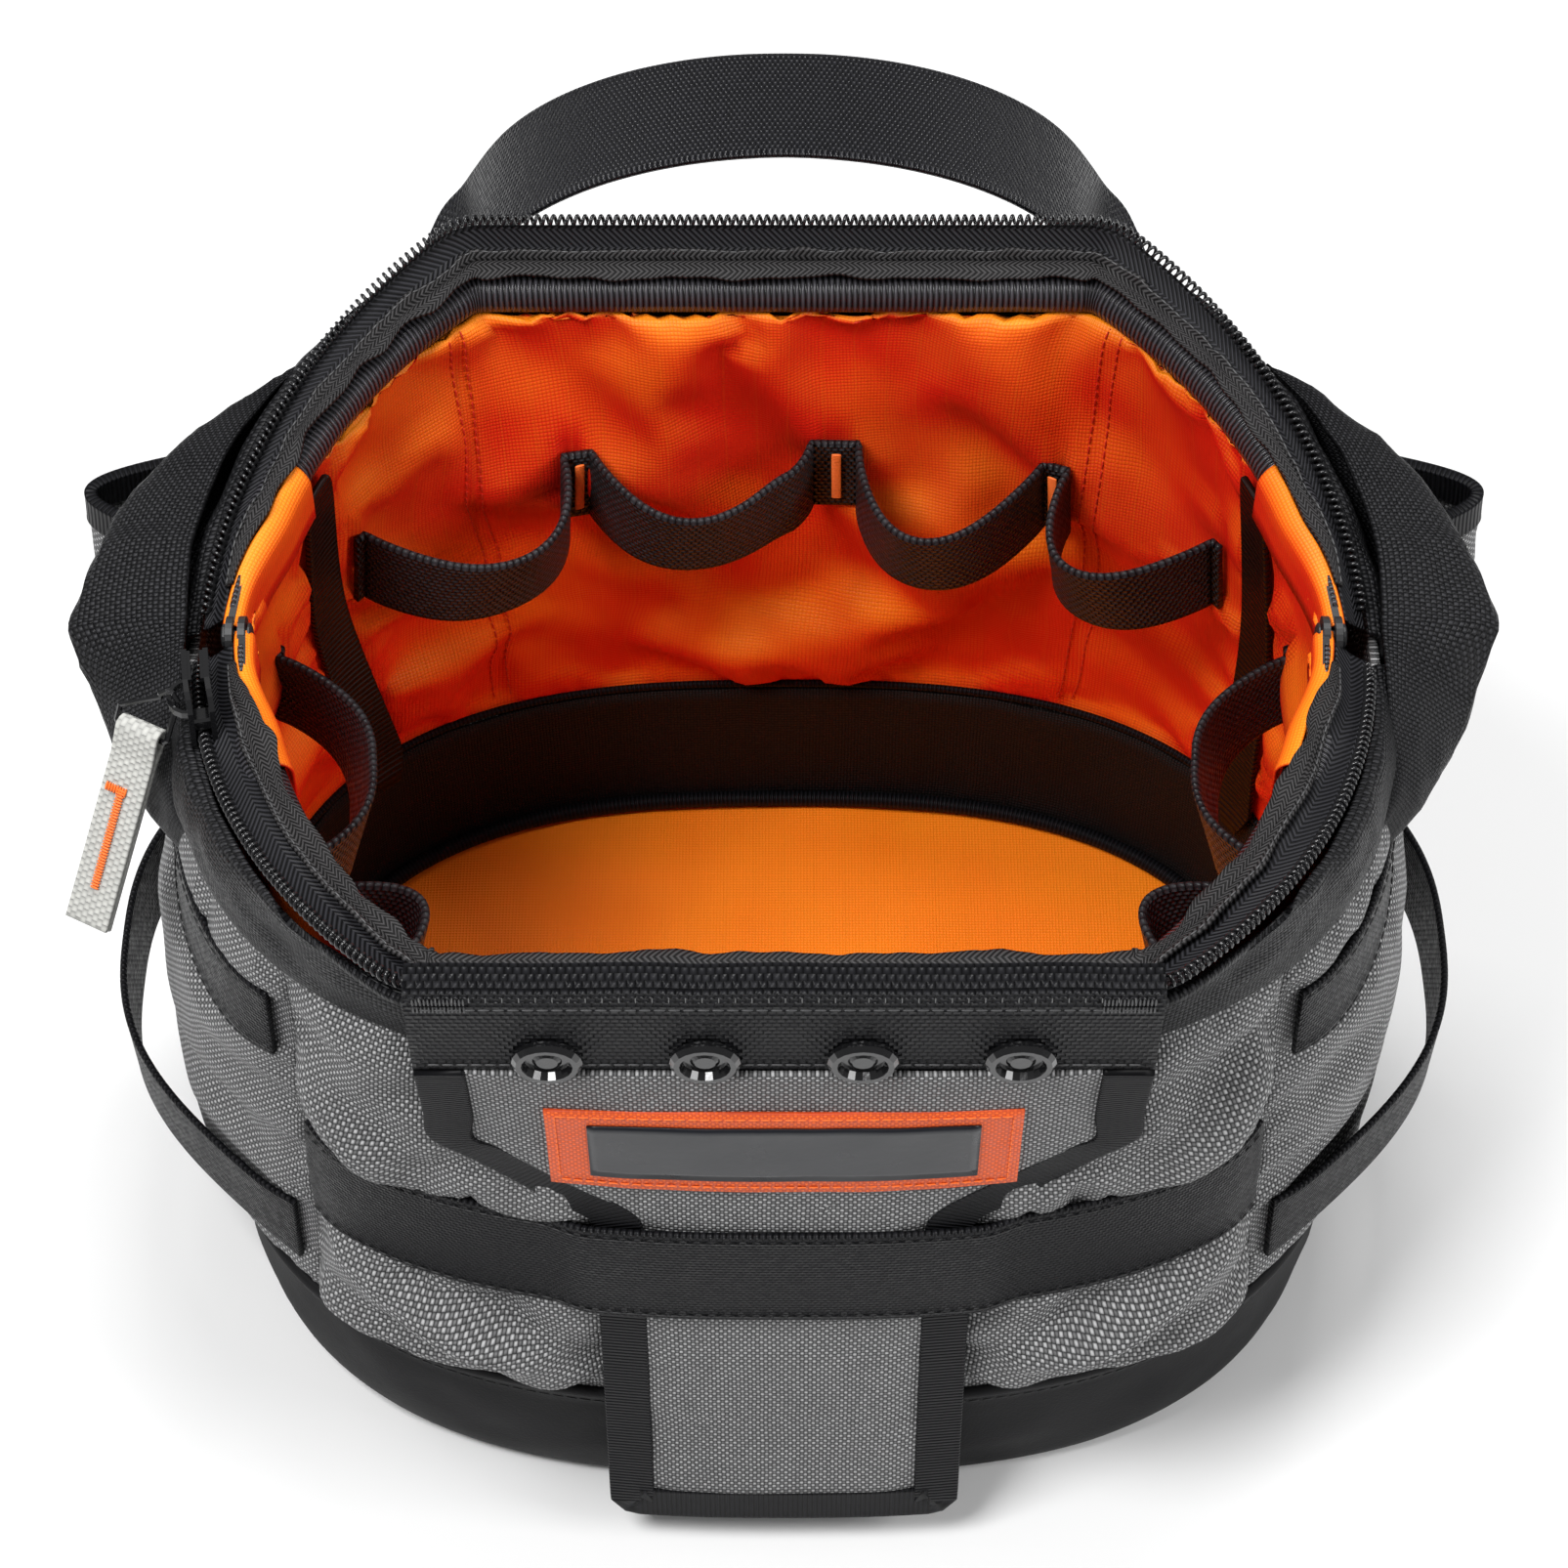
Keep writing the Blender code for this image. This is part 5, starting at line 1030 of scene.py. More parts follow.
def build_side_straps():
    for side, word in ((1, "right"), (-1, "left")):
        strap("side_strap_" + word, side_band(side, -STRAP_REACH, 0.1545, 0.1795, 0.0021, 0, 70),
              SIDE_WEB, WEB, "body", ("side_webbing_" + word,))
        strap("side_loop_" + word, side_band(side, -STRAP_REACH, 0.0655, 0.0905, 0.0019, SLACK_OUT, 90),
              SIDE_WEB, WEB, "body", ("hammer_loop_" + word,))
        pocket = side_band(side, SLEEVE_START, 0.150, 0.1845, SLEEVE_OFF, SLEEVE_OUT, 80, 9)
        pocket += normals(pocket) * (0.0007 * noises(pocket, 0.016, 2.5))[..., None]
        obj = grid("rear_sleeve_" + word, pocket, GREY, "body", 0.0016, 0, ("back_sleeve_" + word,))
        bound = side_band(side, SLEEVE_START, 0.1812, 0.1905, SLEEVE_OFF, SLEEVE_OUT, 80)
        strap("rear_sleeve_binding_" + word, bound, 0.0030, BIND, "body", ("sleeve_binding_" + word,))
        lines = [(side_band(side, -STRAP_REACH, z, z, 0.0032, 0, 120, 2)[:, 0], np.array([side, 0, 0.0]))
                 for z in (0.1562, 0.1778)]
        stitches("side_stitches_" + word, lines, THREAD, "body", STITCH["side"])


def belt_off(a, z):
    """The belt steps out over the panel."""
    x = np.abs(body(a, z)[..., 0])
    return 0.0020 + 0.0022 * (1 - smooth((x - PANEL_TAIL) / 0.012))


def build_belt():
    ends = (-math.pi / 2 - BELT_REACH, -math.pi / 2 + BELT_REACH)
    strap("belt", strap_rows(*ends, BELT_LOW, BELT_HIGH, belt_off, 120)[0], 0.0019, WEB, "body",
          ("belt_webbing",))
    lines = []
    for z in (0.1005, 0.1335):
        edge = strap_rows(*ends, z, z, lambda a, h: belt_off(a, h) + 0.0011, 160, 2)[0][:, 0]
        lines.append((edge, np.array([0, -1.0, 0])))
    stitches("belt_stitches", lines, THREAD, "body", STITCH["belt"])


# Ears

EAR_Y, EAR_TIP = 0.004, 0.163
EAR_OFF, EAR_CLOTH = 0.0012, 0.0012
EAR_FRONT, EAR_REAR = 0.050, 0.072
# How fast the front fold drops from the hinge to the wall
EAR_DROP_SHARES = ((0, 0.18, 0.41, 0.7, 1), (0, 0.75, 0.93, 1, 1))


def ear_section(along, start):
    """Outline of an ear's fold at a share of its length, from the mouth over its edge to the wall."""
    size = abs(along)
    run, taper, end_level, end_top = (EAR_FRONT, 1.0, 0.188, 0.191)
    drop = np.interp(size, *EAR_DROP_SHARES)
    if along >= 0:
        run, taper, end_level, end_top, drop = EAR_REAR, 1.35, 0.216, 0.216, size
    y = EAR_Y + run * along
    bottom = lerp(0.180, 0.1915, float(smooth((y - start + 0.008) / 0.004)))
    level = lerp(0.206, end_level, drop)
    top = lerp(0.210, end_top, size)
    wall = float(body_side(y, WALL_TOP, 0.0005))
    foot = float(body_side(y, bottom, 0.0005))
    tip = lerp(EAR_TIP, wall + 0.0014, size ** taper)
    root = lerp(MOUTH_HALF[0] + 0.0030, wall, min(abs(y - EAR_Y) / 0.024, 1))
    edge = min(0.004, (level - bottom) / 2)
    return y, ((root, top + 0.0004), (lerp(root, tip, 0.5), lerp(top, level, 0.5) + EAR_OFF),
               (tip - EAR_OFF, level), (tip, level - edge),
               (lerp(wall + EAR_OFF, tip, 0.62), lerp(bottom, level, 0.42)), (foot + EAR_OFF, bottom))


def build_ears():
    start = float(body(SLEEVE_START, 0.190)[1])
    shares = np.concatenate([-np.linspace(1, 0, 24)[:-1] ** 0.8, np.linspace(0, 1, 34)])
    for side, word in ((1, "right"), (-1, "left")):
        sections = []
        for along in shares:
            y, outline = ear_section(along, start)
            sections.append(catmull(np.array([(side * x, y, z) for x, z in outline]), 30))
        rows = np.array(sections)
        rows += (0.0011 * noises(rows, (0.012, 0.014, 0.012), 2.0 + side))[..., None] * normals(rows)
        if side > 0:
            rows = rows[::-1]
        obj = grid("ear_cloth_" + word, rows, BLACK, "body", EAR_CLOTH, -1, ("ear_gusset_" + word,))


# Front panel

PANEL_TAIL, PANEL_HEAD = 0.043, 0.078
PANEL_LOW, PANEL_TOP = 0.012, 0.2036
TAPER_LOW, TAPER_HIGH = 0.136, 0.164
LEAN_LOW, HEAD_DEPTH = 0.150, 0.1129
TAIL_OUT, PANEL_CORNER, BINDING = 0.011, 0.007, 0.011
LABEL_SEAM = (0.0493, 0.1557, 0.1853)
LABEL_PARTS = (
    # name, half width, low, high, offset, thickness, material, node, slot
    ("label_cloth", 0.0515, 0.1535, 0.1875, 0.0030, 0.0009, PATCH, "label_patch", "label_orange"),
    ("label_film", 0.0425, 0.159, 0.1815, 0.0037, 0.0005, FILM, "label_window", "label_black"),
)


def panel_point(x, z, offset):
    """Points of the panel, which leans out to the front band and hangs free below the belt."""
    x, z = np.broadcast_arrays(np.asarray(x, float), np.asarray(z, float))
    lean = np.clip((z - LEAN_LOW) / (PANEL_TOP - LEAN_LOW), 0, 1)
    depth = lerp(body_depth(x, z) + 0.0005, HEAD_DEPTH, lean)
    depth = depth + np.where(z < BELT_LOW, TAIL_OUT * (BELT_LOW - z) / (BELT_LOW - PANEL_LOW), 0)
    depth = depth + np.where(z < BASE_TURN, body_depth(x, BASE_TURN) - body_depth(x, z), 0)
    return np.stack([x, -(depth + offset), z], -1)


def panel_outline():
    """The panel's edge in x and z, from its top left corner round to its top right corner."""
    top = [(PANEL_HEAD, z) for z in (PANEL_TOP, 0.195, 0.180, TAPER_HIGH)]
    taper = [(lerp(PANEL_HEAD, PANEL_TAIL, t), lerp(TAPER_HIGH, TAPER_LOW, t))
             for t in (0.25, 0.5, 0.75, 1)]
    down = [(PANEL_TAIL, z) for z in (0.12, BELT_LOW, 0.07, 0.04, PANEL_LOW + PANEL_CORNER)]
    bend = [(PANEL_TAIL - PANEL_CORNER * (1 - math.cos(t)), PANEL_LOW + PANEL_CORNER * (1 - math.sin(t)))
            for t in (0.4, 0.8, 1.2, math.pi / 2)]
    right = np.array(top + taper + down + bend + [(0.02, PANEL_LOW), (0.0, PANEL_LOW)])
    return np.vstack([right * (-1, 1), right[::-1][1:]])


def build_binding():
    outer = panel_outline()
    way = np.gradient(outer, axis=0)
    way /= np.linalg.norm(way, axis=1, keepdims=True)
    inward = np.stack([-way[:, 1], way[:, 0]], -1)
    flip = np.sign(((np.array([0, 0.11]) - outer) * inward).sum(1))[:, None]
    flip[flip == 0] = 1
    inward *= flip
    rows = []
    for t in np.linspace(0, BINDING, 5):
        q = outer + inward * t
        q[0, 1] = q[-1, 1] = PANEL_TOP
        rows.append(panel_point(q[:, 0], np.maximum(q[:, 1], PANEL_LOW), 0.0014))
    rows = catmull(np.stack(rows, 1), 200)
    strap("panel_binding", rows, 0.0026, BIND, "body", ("flap_binding",))


def build_panel():
    z = np.concatenate([np.linspace(0.0235, 0.134, 46), np.linspace(TAPER_LOW, TAPER_HIGH, 16),
                        np.linspace(0.1665, PANEL_TOP, 16)])
    z, x = np.meshgrid(z, np.linspace(-1, 1, 41), indexing="ij")
    half = np.interp(z, (TAPER_LOW, TAPER_HIGH), (PANEL_TAIL, PANEL_HEAD)) - 0.007
    p = panel_point(x * half, z, 0.001)
    edge = (1 - np.abs(x)) * half
    p[..., 1] -= 0.0010 * smooth(edge / 0.012) + 0.0005 * noises(p, 0.03, 9.0)
    obj = grid("panel_cloth", p.transpose(1, 0, 2), GREY, "body", 0.0014, 0, ("flap_panel",))
    planar_uv(obj, 0, 2)
    build_binding()

    for name, half_w, low, high, off, thick, mat, node, slot in LABEL_PARTS:
        x, z = np.meshgrid(np.linspace(-half_w, half_w, 41), np.linspace(low, high, 9), indexing="ij")
        p = panel_point(x, z, off)
        p[..., 1] -= 0.0003 * noises(p, 0.02, 4.4)
        obj = grid(name, p, mat, "body", thick, 0, (node,))
    reach, low, high = LABEL_SEAM
    corners = ((-reach, low), (reach, low), (reach, high), (-reach, high), (-reach, low))
    t = np.linspace(0, 1, 30)
    lines = [(panel_point(lerp(x0, x1, t), lerp(z0, z1, t), 0.0035), (0, -1, 0))
             for (x0, z0), (x1, z1) in zip(corners, corners[1:])]
    stitches("label_stitches", lines, THREAD_ORANGE, "body", STITCH["label"])


# Front band over the rim

# As depth and height: rows of stitches along the band, and the ends of its ticks and bars
HEAD_ROWS = ((0.1149, 0.2068), (0.11615, 0.2292))
HEAD_TICK = ((0.1164, 0.2318), (0.11625, 0.2340))
HEAD_BAR = ((0.11625, 0.2335), (0.1160, 0.2280))


def build_head():
    section = catmull(np.array([(0, -y, z) for y, z in HEAD_SECTION]), 34)[:, 1:]
    x = np.linspace(-PANEL_HEAD, PANEL_HEAD, 91)
    rows = np.zeros((len(x), len(section), 3))
    rows[..., 0] = x[:, None]
    rows[..., 1:] = section[None]
    uneven = 0.0005 * noises(rows, (0.02, 1.0, 1.0), 3.0)
    rows[..., 2] += uneven * smooth((rows[..., 2] - 0.226) / 0.006)
    strap("head_band", rows, 0.0018, WEB_HEAD, "front_bow", ("flap_head_webbing",))
    lines = [(np.array([(at, -y, z) for y, z in HEAD_TICK]), (0, -1, 0.3))
             for at in np.arange(-0.0745, 0.0750, 0.0034)]
    stitches("head_edge_stitches", lines, THREAD_PALE, "front_bow", STITCH["tick"])
    t = np.linspace(-0.075, 0.075, 60)
    lines = [(np.stack([t, t * 0 - y, t * 0 + z], -1), (0, -1, 0)) for y, z in HEAD_ROWS]
    for side in (-1, 1):
        for at in np.arange(0.0655, 0.0762, 0.0008):
            lines.append((np.array([(side * at, -y, z) for y, z in HEAD_BAR]), (0, -1, 0)))
    stitches("head_stitches", lines, THREAD_GREY, "front_bow", STITCH["head"])


# Handle

HANDLE_X, HANDLE_HALF = 0.079, 0.019
HANDLE_FOOT, HANDLE_KNEE, HANDLE_RISE = 0.165, 0.193, 0.053
KNEE_DEPTH, APEX_DEPTH, APEX_TILT = 0.1348, 0.1337, 0.0028
# Leg of the handle: share of its height, share of its way out, and turn in degrees
HANDLE_LEG_SHARES = ((0, 0, -24), (0.07, 0.002, -24), (0.3, 0.2, -6), (0.62, 0.58, 28), (1, 0.92, 62))
ARCH_TURNS = (62, 82, 88, 90)


def build_handle():
    foot = float(body_depth(HANDLE_X, HANDLE_FOOT, 0.0014))
    half = [(HANDLE_X, lerp(foot, KNEE_DEPTH, out), lerp(HANDLE_FOOT, HANDLE_KNEE, rise), turn, 0)
            for rise, out, turn in HANDLE_LEG_SHARES]
    for i in range(1, 13):
        share = i / 12
        a = share * math.pi / 2
        half.append((HANDLE_X * math.cos(a), lerp(KNEE_DEPTH, APEX_DEPTH, float(smooth(share))),
                     HANDLE_KNEE + HANDLE_RISE * math.sin(a), ARCH_TURNS[min(i, 3)], share * APEX_TILT))
    rows = []
    for x, y, z, turn, tilt in [(-h[0], *h[1:]) for h in half[:-1]] + half[::-1]:
        side = -1 if x > 0 else 1
        across = np.array([side * math.cos(math.radians(turn)), -math.sin(math.radians(turn)), 0])
        reach = across * HANDLE_HALF + np.array([0, 0, tilt / 2])
        rows.append([np.array([x, y, z]) + reach * t for t in (1, 0.5, 0, -0.5, -1)])
    rows = catmull(np.array(rows), 220)
    strap("handle_band", rows[::-1], 0.0022, WEB_SHINY, "handle", ("handle_strap",))
    for side, word in ((-1, "left"), (1, "right")):
        z, x = np.meshgrid(np.linspace(0.122, 0.1647, 24),
                           side * HANDLE_X + np.linspace(-HANDLE_HALF, HANDLE_HALF, 9), indexing="ij")
        p = np.stack([x, body_depth(x, z, 0.0024), z], -1)
        strap("handle_end_" + word, p, 0.0018, WEB_SHINY, "body", ("handle_anchor_" + word,))


# Inside

BACK_TACKS = [math.radians(a) for a in (34, 63, 87, 108.5, 144)]
FRONT_TACKS = [math.radians(a) for a in (-47, -72, -108, -133)]
RIGHT_TACKS = [math.radians(a) for a in (13, -18, -45)]
LEFT_TACKS = [math.pi - a for a in RIGHT_TACKS]
LOOP_Z, LOOP_HALF, LOOP_OFF = 0.153, 0.0125, 0.0030
LOOP_OUT, LOOP_UNEVEN, LOOP_LEAN, LOOP_SAG = 0.0250, 0.003, 0.0022, 0.0015
TACK_LOW, TACK_HIGH, TACK_STEP = 0.1455, 0.1625, 0.0006
TACK_OFF, TACK_HALF = 0.0048, 0.0013
STAY_WIDTH, STAY_OFF = 0.017, 0.0029


def loop_row(angle, arch, bulge):
    level = np.linspace(-1, 1, 5)
    return lining(np.full(5, angle), LOOP_Z + LOOP_HALF * level - LOOP_SAG * arch,
                  -(LOOP_OFF + bulge + LOOP_LEAN * arch * level))


def build_loops():
    """Webbing round the inside: it lies flat at each tack and stands off as a rounded U between them."""
    for name, tacks in (("back", BACK_TACKS), ("front", FRONT_TACKS), ("right", RIGHT_TACKS),
                        ("left", LEFT_TACKS)):
        rows = []
        for number, (start, end) in enumerate(zip(tacks, tacks[1:])):
            flat = math.copysign(TACK_FLAT / LINING_TOP_HALF[0], end - start)
            rows.append(loop_row(start, 0, 0))
            for share in 0.5 - 0.5 * np.cos(math.pi * np.linspace(0, 1, 40)):
                arch = math.sin(math.pi * share)
                bulge = max(arch, 0) ** 0.62 * (LOOP_OUT + LOOP_UNEVEN * math.sin(number * 2.1))
                at = lerp(start + flat, end - flat, share - 0.05 * math.sin(2 * math.pi * share))
                rows.append(loop_row(at, arch, bulge))
        rows.append(loop_row(tacks[-1], 0, 0))
        rows = np.array(rows)
        if tacks[1] > tacks[0]:
            rows = rows[::-1]
        strap("inner_loops_" + name, rows, 0.0019, WEB_LOOP, "body", ("tool_loops_" + name,))
    lines = []
    for a in BACK_TACKS[1:-1] + FRONT_TACKS[1:-1] + RIGHT_TACKS[1:-1] + LEFT_TACKS[1:-1]:
        side = np.array([-math.sin(a), math.cos(a), 0]) * TACK_HALF
        for z in np.arange(TACK_LOW, TACK_HIGH, TACK_STEP):
            p = lining(np.array([a]), z, -TACK_OFF)[0]
            lines.append((np.array([p - side, p + side]), -body_out(a)))
    stitches("loop_tacks", lines, THREAD_ORANGE, "body", STITCH["tack"])


def build_stays():
    for side, word in ((-1, "left"), (1, "right")):
        rows = []
        for share in np.linspace(0, 1, 40):
            width = np.interp(share, (0, 0.05, 1), (0.45, 1, 1)) * STAY_WIDTH
            across = stay_angle(side, share) + np.linspace(-0.5, 0.5, 5) * width / LINING_TOP_HALF[0]
            off = STAY_OFF + 0.0012 * smooth(1 - share * 20) + 0.0006 * math.sin(share * 9)
            p = hung_lining(across, np.full(5, share * 0.98)) - body_out(across) * off
            p[:, 2] -= 0.006 * smooth(1 - share * 12)
            p[:, 0] *= side
            rows.append(p)
        rows = np.array(rows)
        if side > 0:
            rows = rows[:, ::-1]
        strap("stay_" + word, rows, 0.0016, STAY, "body", ("side_stay_" + word,))


# Mouth

MOUTH_END = MOUTH_L - 0.004
COIL_END, COIL_GAP, COIL_PITCH, COIL_WIRE = 0.007, 0.003, 0.0019, 0.00046
COIL_LIFT, COIL_TALL, COIL_DEEP = -0.0030, 0.0013, 0.0011
COVER_LENGTH, COVER_END = 0.050, 0.0012
SLEEVE_R, SLEEVE_FLAT = 0.0052, (0.0013, 0.0036)


def near_hinge(runs, start, length):
    """0 within start of the hinge and 1 beyond start + length, along a half of the mouth."""
    return smooth((MOUTH_L - np.abs(runs) - start) / length)


def over(half, runs, turn, extra=0.0):
    """Points on a circle round the channel, which shrinks to a flat sleeve near the hinge."""
    r = lerp(0.0024, 0.0063, near_hinge(runs, 0.008, 0.030)) + extra
    return bow(half, runs, BOW_INSET[half] - r * np.cos(turn), r * np.sin(turn))


def build_coil(half, word, rider):
    """One long flattened spiral along the edge of the tape, left out under the front band."""
    end = MOUTH_L - COIL_END
    spans = [(-end, end)]
    if half == FRONT:
        spans = [(-end, -(STRAIGHT + COIL_GAP)), (STRAIGHT + COIL_GAP, end)]
    loops = []
    s, c = math.sin(MOUTH_SLOPE), math.cos(MOUTH_SLOPE)
    for low, high in spans:
        count = int((high - low) / COIL_PITCH)
        a = np.linspace(0, 2 * math.pi * count, count * 12 + 1)
        lift = COIL_LIFT + COIL_TALL * np.cos(a)
        out = COIL_DEEP * np.sin(a)
        along, away, na, nw = mouth_plan(low + a / (2 * math.pi) * COIL_PITCH)
        path = np.stack([along + na * out, half * ((away + nw * out) * c - lift * s),
                         HINGE + (away + nw * out) * s + lift * c], -1)
        loops.append(round_rings(path, COIL_WIRE, 6))
    rings("coil_" + word, loops, COIL, rider, ("zip_teeth_" + word,))


def build_tape_and_facing(half, word, rider, order):
    """Tape from the chain to the channel, and the gathered band over the channel's upper side."""
    runs = np.linspace(-MOUTH_END, MOUTH_END, 280)
    chain = hung(half, runs, 0.0, 0.0)
    straight = 1 - smooth((np.abs(runs) - STRAIGHT) / CORNER_L)
    turn_edge = lerp(math.radians(88), math.radians(62), straight)
    turn_edge = lerp(math.radians(35), turn_edge, near_hinge(runs, 0.006, 0.034))
    border = over(half, runs, turn_edge)
    limit = chain[:, 2] + lerp(0.012, 0.0012, near_hinge(runs, 0.014, 0.034))
    border[:, 2] = np.minimum(border[:, 2], limit)
    rows = [chain + (border - chain) * t + np.array([0, 0, -0.0008]) * math.sin(math.pi * t)
            for t in np.linspace(0, 1, 9)]
    strap("tape_" + word, np.stack(rows[::-1], 1)[order], 0.0009, TAPE, rider, ("zip_tape_" + word,))
    build_coil(half, word, rider)

    keep = np.abs(runs) < MOUTH_L - 0.012
    reach = lerp(0.45, 1, near_hinge(runs, 0.006, 0.040))
    line = np.stack([runs, runs * 0, runs * 0], -1)
    ruffle = np.abs(noises(line, 0.012, 6.0 + half, 2))
    crease = 1 - 2 * np.abs(noises(line, 0.024, 2.5 + half, 2))
    wavy = lerp(0.0022, 0.0014, straight) * reach
    climb = reach * (0.24 + 0.10 * noises(line, 0.016, 9.0 + half, 2))
    rows = []
    for t in np.linspace(1, 0, 5)[:-1]:
        p = border + (chain - border) * (climb * t)[:, None]
        p[:, 2] += 0.0010 + (0.0006 + wavy * ruffle) * t
        rows.append(p)
    end = math.radians(112) + math.radians(12) * noises(line, 0.017, 4.0 + half, 2)
    for t in np.linspace(0, 1, 9):
        off = 0.0010 + (0.0006 + wavy * (0.6 * ruffle + 0.5 * crease)) * t * reach
        rows.append(over(half, runs, turn_edge + (end - turn_edge) * t * reach, off))
    rows = np.stack(rows[::-1], 1)[keep][order]
    obj = grid("facing_" + word, rows, TWILL, rider, 0.0009, 0, ("facing_band_" + word,))
    edge = rows[:, -2] + np.array([0, 0, 0.0006])
    stitches("facing_stitches_" + word, [(edge, np.array([0, -half * 0.5, 1.0]))], THREAD_GREY, rider,
             STITCH["facing"])


def build_channel(half, word, rider):
    """Ribbed sleeve, round along the bow and flat where the bow nears its hinge."""
    runs = np.linspace(-(MOUTH_L - 0.0065), MOUTH_L - 0.0065, 300)
    wide = near_hinge(runs, 0.014, 0.024)
    a = around(14)
    centre = bow(half, runs, BOW_INSET[half], 0)
    inward = bow(half, runs, BOW_INSET[half] + 0.001, 0) - centre
    inward[:, 2] = 0
    inward /= np.linalg.norm(inward, axis=1, keepdims=True)
    across, tall = (lerp(flat, SLEEVE_R, wide)[:, None, None] for flat in SLEEVE_FLAT)
    loop = (centre[:, None] + inward[:, None] * across * np.cos(a)[None, :, None]
            + np.array([0, 0, 1]) * tall * np.sin(a)[None, :, None])
    rings("channel_" + word, [loop], CHANNEL, rider, ("bow_channel_" + word,))


def build_end_covers(half, word, rider):
    """Orange cloth over each end of the bow, from the facing down to the lining."""
    for side, end in ((-1, "left"), (1, "right")):
        runs = side * np.linspace(MOUTH_L - COVER_LENGTH, MOUTH_L - COVER_END, 36)
        first = lerp(math.radians(52), math.radians(112), near_hinge(runs, 0.004, 0.030))
        rows = [over(half, runs, lerp(first, math.radians(168), t), 0.0002) for t in np.linspace(0, 1, 9)]
        rows += [rows[8] - (0, 0, fall) for fall in (0.004, 0.008, 0.012)]
        rows = np.array(rows)
        if half * side < 0:
            rows = rows[::-1]
        obj = grid("bow_end_cover_" + word + "_" + end, rows, LINING, rider, 0.0006, 0)


def build_collar(half, word, rider):
    """Black fabric that rises from the wall to the chain."""
    runs = np.linspace(-MOUTH_END, MOUTH_END, 280)
    angle = mouth_angle(half, runs)
    low = body(angle, WALL_TOP)
    low[:, 2] = WALL_TOP - 0.002
    high = hung(half, runs, 0.0026, 0.0016)
    shares = np.linspace(0, 1, 18)
    rows = []
    for t in shares:
        out, up = t ** 1.7, 1 - (1 - t) ** 1.9
        rows.append(lerp(low, high, np.array([out, out, up])))
    rows = np.stack(rows, 1)
    if half == BACK:
        rows = rows[::-1]
    calm = smooth(shares / 0.2) * smooth((1 - shares) / 0.3)
    wave = (0.0014 * noises(rows, (0.02, 0.02, 0.014), 13.0 + half) + 0.0005) * calm
    rows = rows + normals(rows) * wave[..., None]
    obj = grid("collar_cloth_" + word, rows, BLACK, None, 0.0016, 1, ("collar_" + word,))
    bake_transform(obj)
    line = rows[4:-4, 15]
    out = line * (1, 1, 0)
    out /= np.linalg.norm(out, axis=1, keepdims=True)
    stitches("collar_stitches_" + word, [(line + out * 0.0002, out)], THREAD, rider, STITCH["collar"])


def build_mouth(half, word):
    rider = word + "_bow"
    order = slice(None) if half == FRONT else slice(None, None, -1)
    build_tape_and_facing(half, word, rider, order)
    build_channel(half, word, rider)
    build_end_covers(half, word, rider)
    build_collar(half, word, rider)


# Puller's tag and the solids that show

TAG_PIVOT = np.array([-0.1439, -0.02596, 0.20552])
TAG_WAY = (-0.3, -0.57, -0.765)
TAG_LENGTH, TAG_HALF, TAG_EYE = 0.047, 0.0055, 0.006
TAG_GAP, TAG_EYE_R, TAG_FACE = 0.00075, 0.0021, 0.0017
BAR_HALF = 0.0011


def build_tag():
    """Webbing folded round the puller's lower bar, with an L of orange stitches."""
    way = unit(np.array(TAG_WAY))
    across = unit(np.array([way[1], -way[0], 0]))
    face = np.cross(across, way)
    outline = [TAG_PIVOT + way * s + face * TAG_GAP for s in np.linspace(TAG_LENGTH, TAG_EYE, 14)]
    for a in np.radians(np.linspace(90, -90, 13)[1:-1]):
        outline.append(TAG_PIVOT + face * TAG_EYE_R * math.sin(a) - way * TAG_EYE_R * math.cos(a))
    outline += [TAG_PIVOT + way * s - face * TAG_GAP for s in np.linspace(TAG_EYE, TAG_LENGTH, 14)]
    rows = np.array([[p + across * t for t in np.linspace(-TAG_HALF, TAG_HALF, 5)] for p in outline])
    strap("tag_band", even(rows, 110), 0.0014, PALE, "tag", ("pull_tag",))
    toward = face if face[1] < 0 else -face
    lines = []
    for s in np.arange(0.014, 0.0385, 0.0007):
        p = TAG_PIVOT + way * s + toward * TAG_FACE
        lines.append((np.array([p - across * BAR_HALF, p + across * BAR_HALF]), toward))
    for s in np.arange(-BAR_HALF, 0.0042, 0.0007):
        p = TAG_PIVOT + across * s + toward * TAG_FACE
        lines.append((np.array([p + way * 0.013, p + way * 0.0155]), toward))
    obj = stitches("tag_stitching", lines, THREAD_ORANGE, "tag", STITCH["tag"])
    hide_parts("tag_stitch")


def dress_solids():
    for mat, names in ((METAL, ("zip_slider", "zip_puller", "snap_far_left", "snap_near_left",
                                "snap_near_right", "snap_far_right")),
                       (THREAD, ("bow_front", "bow_back", "hinge_pin_left", "hinge_pin_right",
                                 "base_board"))):
        for name in names:
            NODES[name].data.materials.clear()
            NODES[name].data.materials.append(mat)


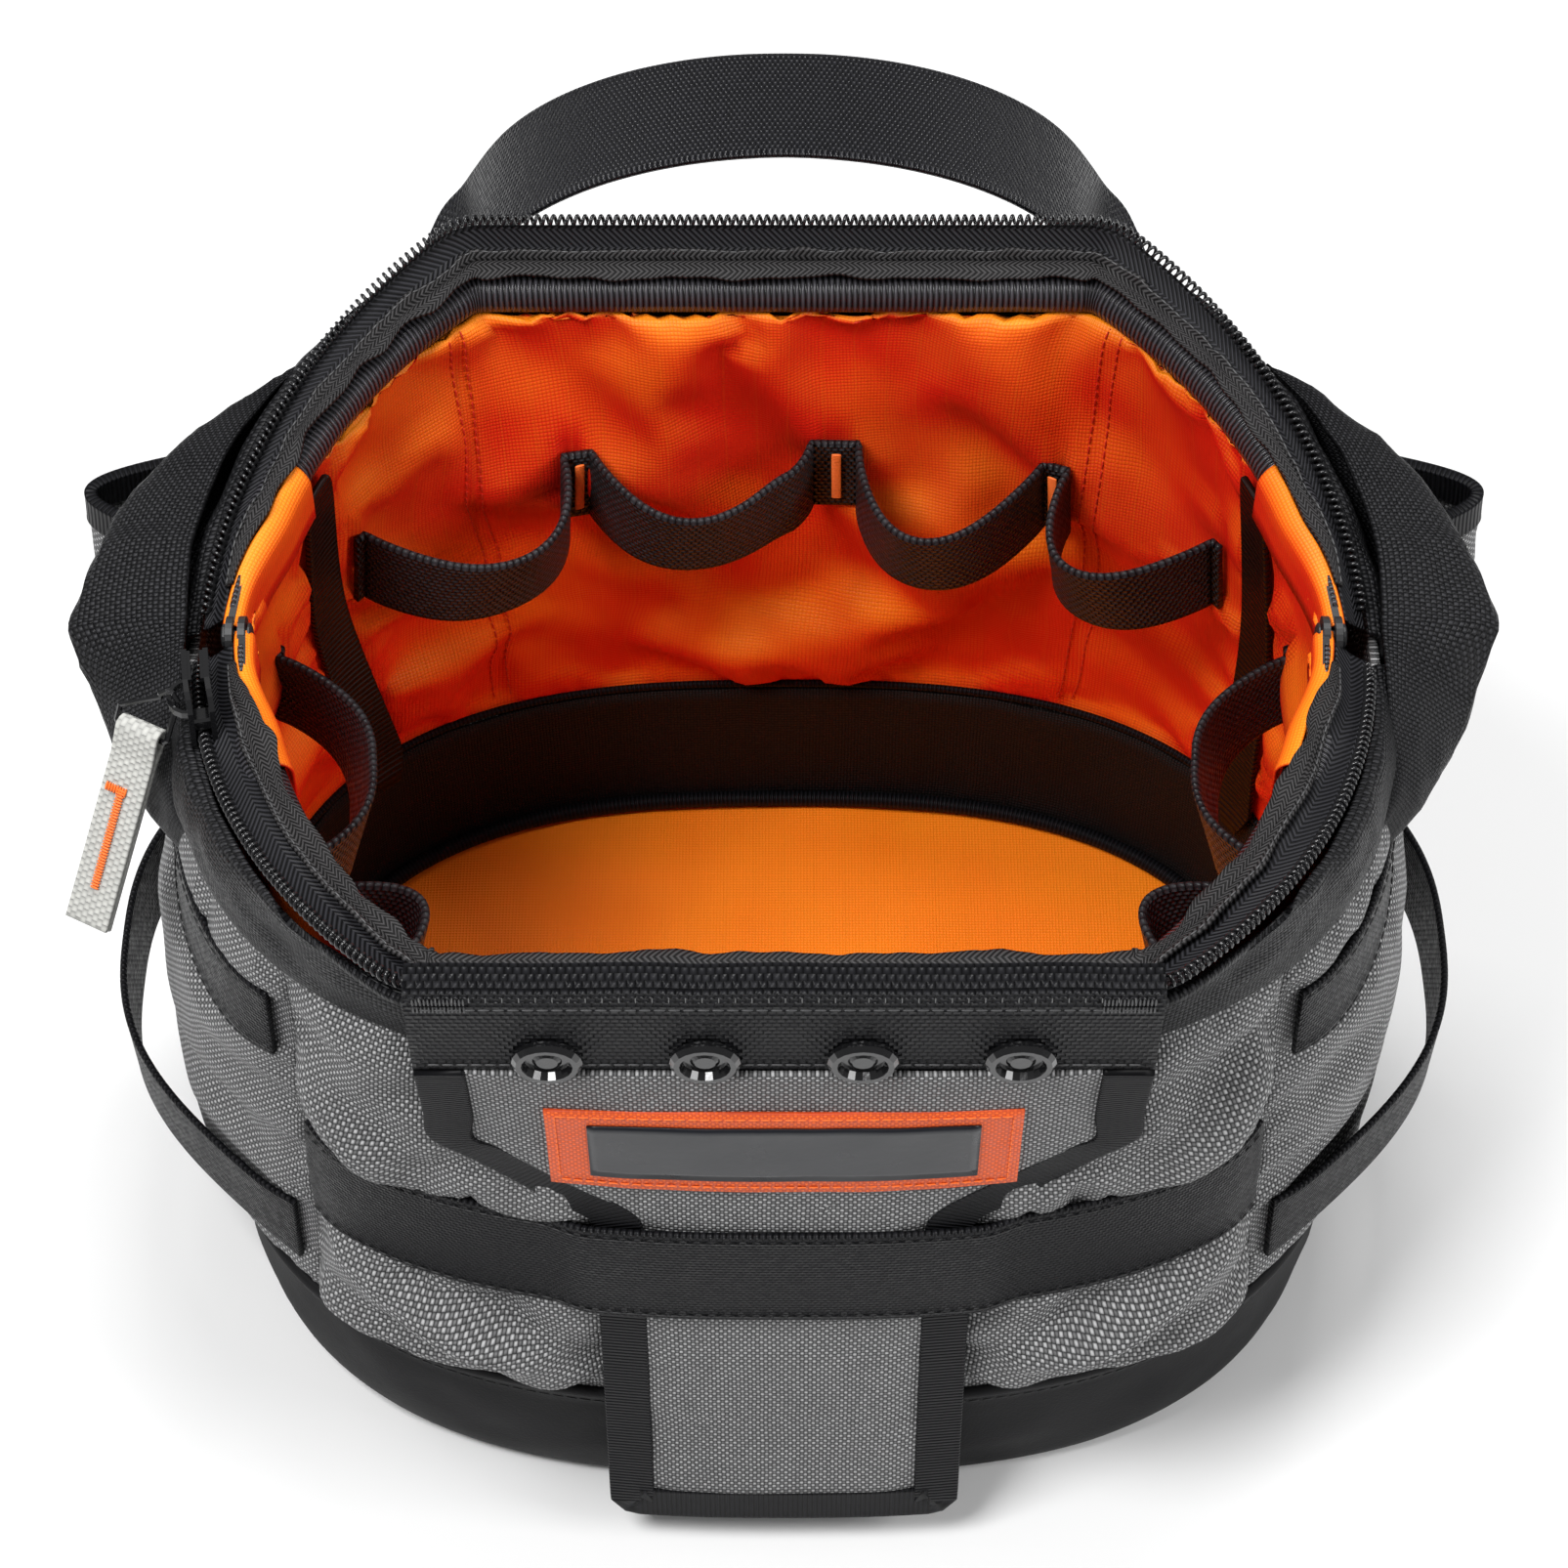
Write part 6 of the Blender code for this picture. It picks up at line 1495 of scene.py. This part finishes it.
build_base()
build_walls()
build_side_straps()
build_belt()
build_panel()
build_head()
build_handle()
build_loops()
build_stays()
build_mouth(FRONT, "front")
build_mouth(BACK, "back")
build_lining()
build_ears()
build_tag()
dress_solids()


# Stage, light and camera

STAGE_HALF, STAGE_Z = 3.0, -0.0002
WORLD_LIGHT = 0.26
LIGHTS = (
    # name, place, aim, size, power
    ("key", (-0.45, -0.35, 1.2), (0, 0, 0.1), (0.4, 0.4), 13.5),
    ("fill", (0.95, -0.35, 0.8), (0, 0, 0.1), (0.45, 0.45), 6.5),
    ("top", (0.05, 0.35, 1.3), (0, 0, 0.05), (0.5, 0.4), 10),
)
SENSOR, FOCAL_PIXELS, PHOTO_PIXELS = 36, 3900, 1605
CAMERA_PLACE, CAMERA_TURN = (0, -0.5484, 0.8797), math.radians(37)


floor_look = Look("studio_floor", (0.86, 0.86, 0.86), 0.9, specular=0.1)
mesh = bpy.data.meshes.new("studio_floor")
corners = [(x * STAGE_HALF, y * STAGE_HALF, STAGE_Z) for x, y in ((-1, -1), (1, -1), (1, 1), (-1, 1))]
mesh.from_pydata(corners, [], [(0, 1, 2, 3)])
mesh.materials.append(floor_look.made)
link(bpy.data.objects.new("studio_floor", mesh))

world = bpy.context.scene.world or bpy.data.worlds.new("studio")
bpy.context.scene.world = world
world.use_nodes = True
world.node_tree.nodes["Background"].inputs[0].default_value = (1, 1, 1, 1)
world.node_tree.nodes["Background"].inputs[1].default_value = WORLD_LIGHT
for name, place, aim, size, power in LIGHTS:
    data = bpy.data.lights.new(name, "AREA")
    data.shape = "RECTANGLE"
    data.size, data.size_y = size
    data.energy = power
    lamp = link(bpy.data.objects.new(name, data))
    lamp.location = place
    lamp.rotation_euler = (Vector(aim) - Vector(place)).to_track_quat("-Z", "Y").to_euler()

data = bpy.data.cameras.new("camera")
data.sensor_width = SENSOR
data.lens = SENSOR * FOCAL_PIXELS / PHOTO_PIXELS
camera = link(bpy.data.objects.new("camera", data))
camera.location = CAMERA_PLACE
camera.rotation_euler = (CAMERA_TURN, 0, 0)
bpy.context.scene.camera = camera
bpy.context.scene.view_settings.view_transform = "Standard"
